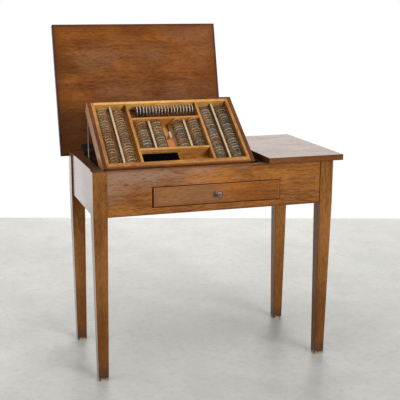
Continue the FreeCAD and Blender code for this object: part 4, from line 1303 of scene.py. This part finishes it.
@dataclass
class DeskFrame:
    """The legs, aprons, panels and well, with the fixed part of the top."""

    workshop: Workshop
    board_arris: float = 1.1 * MM
    leg_arris: float = 0.5 * MM
    apron_border: float = 9.0 * MM
    apron_joint_and_shade: float = 0.6
    top_border: float = 30.0 * MM
    top_border_darkness: float = 0.5
    top_figure: Colour = (0.7, 0.3, 0.1)

    def aprons(self) -> None:
        """Finish the front apron, with painted shadow on the ledge of its drawer opening, and the rear one,
        with painted shade on its front face.
        """
        # The apron darkens towards its outline: dark joint lines at its ends, and painted shade along its top
        # edge under the tray.
        edge = self.workshop.border("front_apron", LEVEL, self.apron_border, self.apron_joint_and_shade)
        grain = APRON_OAK.material(Grain.ACROSS, borders=(edge,))
        apron = self.workshop.board("front_apron", grain, self.board_arris)
        opening_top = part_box("drawer_front")[1].z
        # Painted shadow: upward faces below the drawer's top edge, the opening's ledge, take dark wood.
        self.workshop.cover(apron, SEAM_SHADOW_OAK.material(Grain.ACROSS), UP, opening_top)
        rear = self.workshop.board("rear_apron", BROWN_OAK.material(Grain.ACROSS), self.board_arris)
        # Painted shade on the rear apron's front face, inside the well.
        self.workshop.cover(rear, WELL_SHADE_OAK.material(Grain.ACROSS), FRONT)

    def dress(self) -> None:
        """Finish every piece that is fixed to the frame."""
        # well: dark wood that paints shade on the ledge, the tops of legs and panels, and the fixed top's
        # left edge.
        well = WELL_SHADE_OAK.material(Grain.DEEP)
        plain = PLAIN_PINE.material(Grain.DEEP)
        for corner in ("front_left", "front_right", "rear_left", "rear_right"):
            leg = self.workshop.board(f"leg_{corner}", LEG_OAK.material(Grain.UPRIGHT), self.leg_arris)
            self.workshop.cover(leg, WELL_SHADE_OAK.material(Grain.UPRIGHT), UP)
        self.aprons()
        self.workshop.board("well_ledge_left", well, self.board_arris)
        # Painted shadow: the split rail lies in the dark gap beside the tray.
        self.workshop.board("split_rail", GAP_SHADOW_OAK.material(Grain.DEEP), self.board_arris)
        for node in ("end_panel_left", "end_panel_right"):
            panel = self.workshop.board(node, END_OAK.material(Grain.DEEP), self.board_arris)
            self.workshop.cover(panel, well, UP)
        # The fixed top darkens towards its outline.
        edge = self.workshop.border("fixed_top", LEVEL, self.top_border, self.top_border_darkness)
        top = self.workshop.board("fixed_top", PANEL_OAK.material(Grain.ACROSS, self.top_figure, (edge,)))
        self.workshop.cover(top, well, LEFT)
        for side in ("left", "right"):
            self.workshop.boards((f"bay_side_{side}", f"drawer_runner_{side}"), plain, self.board_arris)
        self.workshop.board("well_floor", PLAIN_PINE.material(Grain.ACROSS), self.board_arris)


@dataclass
class Hinges:
    """The iron hinges of the lid and the brass ones of the tray, with their screws."""

    workshop: Workshop
    lid_turn: Matrix
    slot_width: float = 0.8 * MM
    slot_depth: float = 0.7 * MM
    leaf_arris: float = 0.25 * MM

    def heads(self, node: str, level: Matrix, up: bool) -> None:
        """Replace a group of countersunk screws with slotted ones.

        Args:
            node: The screws' node.
            level: The turn from level coordinates to the stored pose.
            up: Whether the heads face up in level coordinates.
        """
        bm = bmesh.new()
        chance = random.Random(node)
        face = LEVEL if up else Matrix.Rotation(math.pi, 4, "X")
        for low, high in self.workshop.islands(node, level):
            centre = (low + high) / 2.0
            centre.z = high.z if up else low.z
            made = slotted_head(bm, (high.x - low.x) / 2.0, self.slot_width, self.slot_depth)
            spin = Matrix.Rotation(chance.uniform(0.0, math.pi), 4, "Z")
            bmesh.ops.transform(bm, matrix=level @ Matrix.Translation(centre) @ face @ spin, verts=made)
        settle(bm)
        self.workshop.shade(bm)
        self.workshop.stand_in(node, bm, [BLACK_IRON.material()])

    def dress(self) -> None:
        """Finish the leaves and pins of all four hinges, and the lid hinges' screws."""
        for hinge, base, finish in (("lid", "frame", BLACK_IRON), ("tray", "apron", AGED_BRASS)):
            nodes = (f"{hinge}_hinge_{part}" for part in (f"{base}_leaves", "pins", f"{hinge}_leaves"))
            self.workshop.boards(nodes, finish.material(), self.leaf_arris)
        self.heads("lid_hinge_frame_screws", LEVEL, True)
        self.heads("lid_hinge_lid_screws", self.lid_turn, False)


@dataclass
class Lid:
    """The lid, which stands open."""

    workshop: Workshop
    lid_turn: Matrix
    figure: Colour = (0.2, 0.5, 0.4)
    border: float = 60.0 * MM
    # How dark the lid gets towards its edges.
    dirt: float = 0.7
    edge_line: float = 12.0 * MM
    edge_line_share: float = 0.9
    edge_line_colour: Colour = (0.035, 0.014, 0.01)

    def dress(self) -> None:
        """Finish the lid's panel, which has a soft dark border and a darker line along its edges."""
        soft = self.workshop.border("lid_panel", self.lid_turn, self.border, self.dirt)
        line = self.workshop.border(
            "lid_panel", self.lid_turn, self.edge_line, self.edge_line_share, self.edge_line_colour
        )
        self.workshop.board("lid_panel", LID_OAK.material(Grain.ACROSS, self.figure, (soft, line)))


@dataclass
class Drawer:
    """The drawer with its turned nickel knob."""

    workshop: Workshop
    board_arris: float = 1.0 * MM
    screw_arris: float = 0.2 * MM
    front_figure: Colour = (1.3, 0.2, 0.6)
    front_border: float = 12.0 * MM
    front_border_darkness: float = 0.6
    seam_shadow_above: float = 0.6
    seam_shadow_below: float = 0.2
    knob_steps: int = 40
    rosette_share: float = 0.82
    rosette_length: float = 0.08
    neck_share: float = 0.42
    neck_place: float = 0.24
    head_place: float = 0.4
    head_points: int = 14

    def knob(self) -> None:
        """Turn the knob: rosette, waisted neck and domed head."""
        low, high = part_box("drawer_knob")
        reach = high.y - low.y
        radius = (high.x - low.x) / 2.0
        rosette = self.rosette_share * radius
        neck = self.neck_share * radius
        half = (1.0 - self.head_place) / 2.0 * reach
        profile = [
            (0.0, 0.0),
            (rosette, 0.0),
            (rosette, self.rosette_length / 2.0 * reach),
            (neck, self.rosette_length * reach),
            (neck, self.neck_place * reach),
        ]
        start = math.asin(self.neck_share)
        for place in range(self.head_points + 1):
            angle = start + (math.pi - start) * place / self.head_points
            profile.append((radius * abs(math.sin(angle)), reach - half - half * math.cos(angle)))
        bm = bmesh.new()
        made = spun(bm, profile, self.knob_steps)
        foot = (low + high) / 2.0
        foot.y = high.y
        stand = Matrix.Translation(foot) @ Matrix.Rotation(QUARTER_TURN, 4, "X")
        bmesh.ops.transform(bm, matrix=stand, verts=made)
        for face in bm.faces:
            face.smooth = True
        obj = self.workshop.piece("knob_finished", bm, [NICKEL.material()], "drawer", "nickel")
        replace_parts(obj, "drawer_knob")

    def dress(self) -> None:
        """Finish the drawer's boards, knob and screw."""
        # The drawer front darkens towards its outline.
        edge = self.workshop.border("drawer_front", LEVEL, self.front_border, self.front_border_darkness)
        grain = DRAWER_OAK.material(Grain.ACROSS, self.front_figure, (edge,))
        front = self.workshop.board("drawer_front", grain)
        # Painted shadow: the upper and lower faces of the drawer front's rounded edge take dark wood,
        # widening the gap's shadow lines.
        seam_shadow = SEAM_SHADOW_OAK.material(Grain.ACROSS)
        self.workshop.cover(front, seam_shadow, UP, least=self.seam_shadow_above)
        self.workshop.cover(front, seam_shadow, DOWN, least=self.seam_shadow_below)
        # Painted light: the drawer front's shaded left side takes a brighter oak, so that its gap reads warm
        # brown.
        self.workshop.cover(front, AMBER_OAK.material(Grain.ACROSS), LEFT)
        sides = ("drawer_side_left", "drawer_side_right")
        self.workshop.boards(sides, PLAIN_PINE.material(Grain.DEEP), self.board_arris)
        inside = ("drawer_back", "drawer_bottom")
        self.workshop.boards(inside, PLAIN_PINE.material(Grain.ACROSS), self.board_arris)
        self.workshop.board("knob_screw", DRAWN_STEEL.material(), self.screw_arris)
        self.knob()


@dataclass
class LensTray:
    """The tilted tray with its dividers, racks, lenses, strips and black slips."""

    workshop: Workshop
    level: Matrix
    wall_arris: float = 1.2 * MM
    liner_arris: float = 0.8 * MM
    number_arris: float = 0.2 * MM
    rim_width: float = 2.8 * MM
    rim_flatness: float = 0.5
    lens_segments: int = 16
    tab_width: float = 5.0 * MM
    tab_height: float = 3.0 * MM
    tab_thickness: float = 0.8 * MM
    lean: float = 2.5
    tab_swing: float = 22.0
    disc_count: int = 4
    slip_count: int = 4
    slip_gap: float = 0.9 * MM
    slip_arris: float = 0.8 * MM
    post_inset: float = 5.5 * MM
    post_width: float = 7.0 * MM
    post_length: float = 29.0 * MM
    post_height: float = 30.0 * MM
    post_gap: float = 1.0 * MM
    post_arris: float = 0.5 * MM
    strip_thickness: float = 0.8 * MM
    strip_arris: float = 0.2 * MM

    def boards(self) -> None:
        """Finish the tray's walls, liner, dividers and racks."""
        deep = TRAY_OAK.material(Grain.TRAY_DEEP)
        self.workshop.board("tray_front", RIM_OAK.material(Grain.ACROSS), self.wall_arris)
        self.workshop.board("tray_rear", TRAY_OAK.material(Grain.ACROSS), self.wall_arris)
        self.workshop.board("tray_right", deep, self.wall_arris)
        left = self.workshop.board("tray_left", deep, self.wall_arris)
        self.workshop.cover(left, SIDE_OAK.material(Grain.TRAY_DEEP), LEFT)
        long_rails = ("liner_left", "liner_right", "divider_left", "divider_right")
        for finish, grain, nodes in (
            (LINER_OAK, Grain.ACROSS, ("liner_front",)),
            (HONEY_OAK, Grain.ACROSS, ("cross_divider_lower", "tray_bottom")),
            (AMBER_OAK, Grain.ACROSS, ("cross_divider_upper",)),
            # The rear liner takes the painted-light copy of the liner finish.
            (PAINTED_LIT_LINER_OAK, Grain.ACROSS, ("liner_rear",)),
            (LINER_OAK, Grain.TRAY_DEEP, long_rails),
            (RED_BLOCK, Grain.TRAY_DEEP, ("spacer_block",)),
        ):
            self.workshop.boards(nodes, finish.material(grain), self.liner_arris)
        racks = (f"lens_rack_{place}" for place in ("left", "right", "middle_left", "middle_right"))
        self.workshop.boards(racks, RACK_OAK.material(Grain.TRAY_DEEP))
        # Painted shade: dark wood on the top rack, between the top row's lenses.
        self.workshop.board("lens_rack_top", WELL_SHADE_OAK.material(Grain.ACROSS))
        self.workshop.board("number_strips", AGED_STRIP.material(), self.number_arris)

    def post(self) -> None:
        """Stand a small post with a blank strip behind the block between the middle racks."""
        (block_low, block_high), = self.workshop.islands("spacer_block", self.level)
        right = block_high.x - self.post_inset
        front = block_high.y + self.post_gap
        low = Vector((right - self.post_width, front, block_low.z))
        high = Vector((right, front + self.post_length, block_low.z + self.post_height))
        post = bmesh.new()
        eased_box(post, low, high, self.post_arris)
        bmesh.ops.transform(post, matrix=self.level, verts=post.verts[:])
        self.workshop.shade(post)
        grain = HONEY_OAK.material(Grain.TRAY_DEEP)
        self.workshop.piece("tab_post", post, [grain], "lens_tray", "honey_wood")
        strip = bmesh.new()
        low.z = high.z
        high.z += self.strip_thickness
        eased_box(strip, low, high, self.strip_arris)
        bmesh.ops.transform(strip, matrix=self.level, verts=strip.verts[:])
        self.workshop.piece("tab_strip", strip, [AGED_STRIP.material()], "lens_tray", "cream_strip")

    def lens_mesh(self, radius: float, thickness: float) -> bpy.types.Mesh:
        """Make one rimmed lens that stands on its edge, facing Y, centred on the origin.

        Args:
            radius: The rim's outer radius.
            thickness: The rim's width along the lens's axis.

        Returns:
            The mesh, whose glass has material index 1 and the rest 0.
        """
        bm = bmesh.new()
        half = thickness / 2.0
        inner = radius - self.rim_width
        spun(bm, [(radius, -half), (radius, half), (inner, 0.0)], self.lens_segments, ring=True)
        for face in bm.faces:
            face.smooth = abs(face.normal.z) < self.rim_flatness
        rim_faces = set(bm.faces)
        bmesh.ops.create_circle(bm, cap_ends=True, radius=inner, segments=self.lens_segments)
        for face in bm.faces:
            face.material_index = int(face not in rim_faces)
        upright = Matrix.Rotation(QUARTER_TURN, 3, "X")
        bmesh.ops.rotate(bm, verts=bm.verts[:], cent=ORIGIN, matrix=upright)
        side = self.tab_width / 2.0
        thin = self.tab_thickness / 2.0
        boxed(bm, Vector((-side, -thin, radius - half)), Vector((side, thin, radius + self.tab_height)))
        mesh = bpy.data.meshes.new("lens_pattern")
        bm.to_mesh(mesh)
        bm.free()
        return mesh

    def lenses(
        self, node: str, stance: Stance, rims: tuple[MetalFinish, ...], glasses: tuple[LensGlass, ...],
        discs: int = 0,
    ) -> None:
        """Stand a lens in each slot of a group.

        Args:
            node: The group's node.
            stance: Which way the lenses stand.
            rims: The finishes that the rims are drawn from.
            glasses: The finishes that the glasses are drawn from.
            discs: How many black discs stand at the group's left end.
        """
        chance = random.Random(node)
        bm = bmesh.new()
        boxes = sorted(self.workshop.islands(node, self.level), key=lambda box: (box[0].x, box[0].y))
        finishes = [finish.material() for finish in (*rims, *glasses, BLACK_GLASS)]
        across = stance is Stance.ACROSS_TRAY
        size = boxes[0][1] - boxes[0][0]
        pattern = self.lens_mesh(size.z / 2.0, size.y if across else size.x)
        face = LEVEL if across else Matrix.Rotation(QUARTER_TURN, 4, "Z")
        for place, (low, high) in enumerate(boxes):
            start = len(bm.verts)
            first = len(bm.faces)
            bm.from_mesh(pattern)
            bm.verts.ensure_lookup_table()
            bm.faces.ensure_lookup_table()
            rim = chance.randrange(len(rims))
            glass = len(rims) + chance.randrange(len(glasses))
            if place < discs:
                rim = 0
                glass = len(finishes) - 1
            for part in bm.faces[first:]:
                part.material_index = glass if part.material_index else rim
            turn = Matrix.Rotation(math.radians(chance.uniform(-self.tab_swing, self.tab_swing)), 4, "Y")
            lean = Matrix.Rotation(math.radians(chance.uniform(-self.lean, self.lean)), 4, "X")
            stand = self.level @ Matrix.Translation((low + high) / 2.0) @ face @ lean @ turn
            bmesh.ops.transform(bm, matrix=stand, verts=bm.verts[start:])
        bpy.data.meshes.remove(pattern)
        self.workshop.stand_in(node, bm, finishes)

    def slips(self) -> None:
        """Stand black slips side by side in the front compartment."""
        (low, high), = self.workshop.islands("lens_case", self.level)
        bm = bmesh.new()
        step = (high.y - low.y + self.slip_gap) / self.slip_count
        for place in range(self.slip_count):
            front = low.y + place * step
            back = front + step - self.slip_gap
            eased_box(bm, Vector((low.x, front, low.z)), Vector((high.x, back, high.z)), self.slip_arris)
        bmesh.ops.transform(bm, matrix=self.level, verts=bm.verts[:])
        self.workshop.shade(bm)
        obj = self.workshop.piece("black_slips", bm, [BLACK_LEATHER.material()], "lens_tray", "black_case")
        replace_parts(obj, "lens_case")

    def dress(self) -> None:
        """Finish the tray and everything in it."""
        self.boards()
        self.lenses("lenses_left", Stance.ACROSS_TRAY, WARM_RIMS, WARM_GLASSES)
        self.lenses("lenses_right", Stance.ACROSS_TRAY, COOL_RIMS, COOL_GLASSES)
        self.lenses("lenses_middle", Stance.ACROSS_TRAY, WARM_RIMS + COOL_RIMS, COOL_GLASSES)
        self.lenses("lenses_top", Stance.ALONG_TRAY, TOP_RIMS, TOP_GLASSES, self.disc_count)
        self.slips()
        self.post()


@dataclass
class Prop:
    """The steel rod that holds the tray up, with its bracket and catch."""

    workshop: Workshop
    arris: float = 0.3 * MM

    def dress(self) -> None:
        """Finish the rod and its fittings."""
        self.workshop.boards(("prop_rod", "prop_bracket", "prop_catch"), DRAWN_STEEL.material(), self.arris)


@dataclass(frozen=True)
class Lamp:
    """A soft square lamp: its place, what it points at, its side in metres and its power in watts."""

    name: str
    place: Colour
    target: Colour
    size: float
    power: float

    def hang(self) -> None:
        """Hang the lamp, unseen in reflections."""
        data = bpy.data.lights.new(self.name, "AREA")
        data.size = self.size
        data.energy = self.power
        obj = bpy.data.objects.new(self.name, data)
        way = Vector(self.target) - Vector(self.place)
        turn = way.to_track_quat("-Z", "Y").to_matrix().to_4x4()
        obj.matrix_world = Matrix.Translation(self.place) @ turn
        obj.visible_glossy = False
        bpy.context.scene.collection.objects.link(obj)


DESK_MIDDLE = (0.0, 0.0, 0.6)
FLOOR_BEHIND = (0.0, 0.6, 0.0)
LAMPS = (
    Lamp("ceiling", (-0.4, -0.6, 3.6), DESK_MIDDLE, 2.6, 60.0),
    Lamp("window", (4.2, -9.2, 2.8), DESK_MIDDLE, 4.8, 1065.0),
    Lamp("side", (-3.6, 0.4, 1.5), DESK_MIDDLE, 2.0, 40.0),
    Lamp("rear", (1.4, 3.6, 3.2), FLOOR_BEHIND, 2.6, 100.0),
)


@dataclass
class Studio:
    """The floor, the light and the camera of the photograph's view."""

    eye: Colour = (-0.9955, -3.12983, 1.3083)
    yaw: float = 17.638
    pitch: float = -13.154
    roll: float = 0.137
    lens: float = 80.73
    sensor: float = 36.0
    shift_x: float = 0.0185
    shift_y: float = 0.01125
    floor_reach: float = 5.24
    floor_near: float = 6.0
    floor_half: float = 8.0
    floor_depth: float = 20.0 * MM
    floor_drop: float = 0.2 * MM
    room_light: float = 0.285
    white: Colour = (1.0, 1.0, 1.0)

    def camera(self) -> None:
        """Place the camera where the photograph was taken."""
        data = bpy.data.cameras.new("view")
        data.lens = self.lens
        data.sensor_width = self.sensor
        data.shift_x = self.shift_x
        data.shift_y = self.shift_y
        obj = bpy.data.objects.new("view", data)
        turn = (
            Matrix.Rotation(-math.radians(self.yaw), 4, "Z")
            @ Matrix.Rotation(QUARTER_TURN + math.radians(self.pitch), 4, "X")
            @ Matrix.Rotation(math.radians(self.roll), 4, "Z")
        )
        obj.matrix_world = Matrix.Translation(self.eye) @ turn
        bpy.context.scene.collection.objects.link(obj)
        bpy.context.scene.camera = obj

    def floor(self) -> None:
        """Lay a pale floor that ends where the photograph's wall begins."""
        bm = bmesh.new()
        low = Vector((-self.floor_half, -self.floor_near, -self.floor_depth))
        made = boxed(bm, low, Vector((self.floor_half, self.floor_reach, -self.floor_drop)))
        under_eye = Matrix.Translation((*self.eye[:2], 0.0))
        ground = under_eye @ Matrix.Rotation(-math.radians(self.yaw), 4, "Z")
        bmesh.ops.transform(bm, matrix=ground, verts=made)
        mesh = bpy.data.meshes.new("floor")
        bm.to_mesh(mesh)
        bm.free()
        mesh.materials.append(PALE_CONCRETE.material())
        obj = bpy.data.objects.new("floor", mesh)
        bpy.context.scene.collection.objects.link(obj)

    def world(self) -> None:
        """Light the room softly, and show white where it is seen."""
        world = bpy.data.worlds.new("room")
        bpy.context.scene.world = world
        world.use_nodes = True
        sketch = Sketch(world.node_tree)
        rays = sketch.add("ShaderNodeLightPath").outputs
        seen = sketch.math("MAXIMUM", rays["Is Camera Ray"], rays["Is Glossy Ray"])
        seen = sketch.math("MAXIMUM", seen, rays["Is Transmission Ray"])
        strength = sketch.span(seen, Ramp(0.0, 1.0, self.room_light, 1.0))
        sketch.fill(world.node_tree.nodes["Background"], Color=rgba(self.white), Strength=strength)

    def dress(self) -> None:
        """Set up the studio."""
        bpy.context.scene.view_settings.view_transform = "Standard"
        self.camera()
        self.floor()
        self.world()
        for lamp in LAMPS:
            lamp.hang()


def main() -> None:
    """Build the sub-assemblies in order."""
    logging.basicConfig(level=logging.INFO, format="%(message)s")
    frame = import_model()
    workshop = Workshop(frame)
    lid_axis = workshop.joints["lid_hinge"]["pos_m"]
    lid_opening = workshop.joints["lid_hinge"]["range_deg"][1]
    tray_axis = workshop.joints["tray_tilt"]["pos_m"]
    lid_turn = turn_about(lid_axis[1], lid_axis[2], -lid_opening)
    tray_turn = turn_about(tray_axis[1], tray_axis[2], TRAY_TILT)
    Studio().dress()
    DeskFrame(workshop).dress()
    Lid(workshop, lid_turn).dress()
    Drawer(workshop).dress()
    LensTray(workshop, tray_turn).dress()
    Prop(workshop).dress()
    Hinges(workshop, lid_turn).dress()


if __name__ == "__main__":
    main()
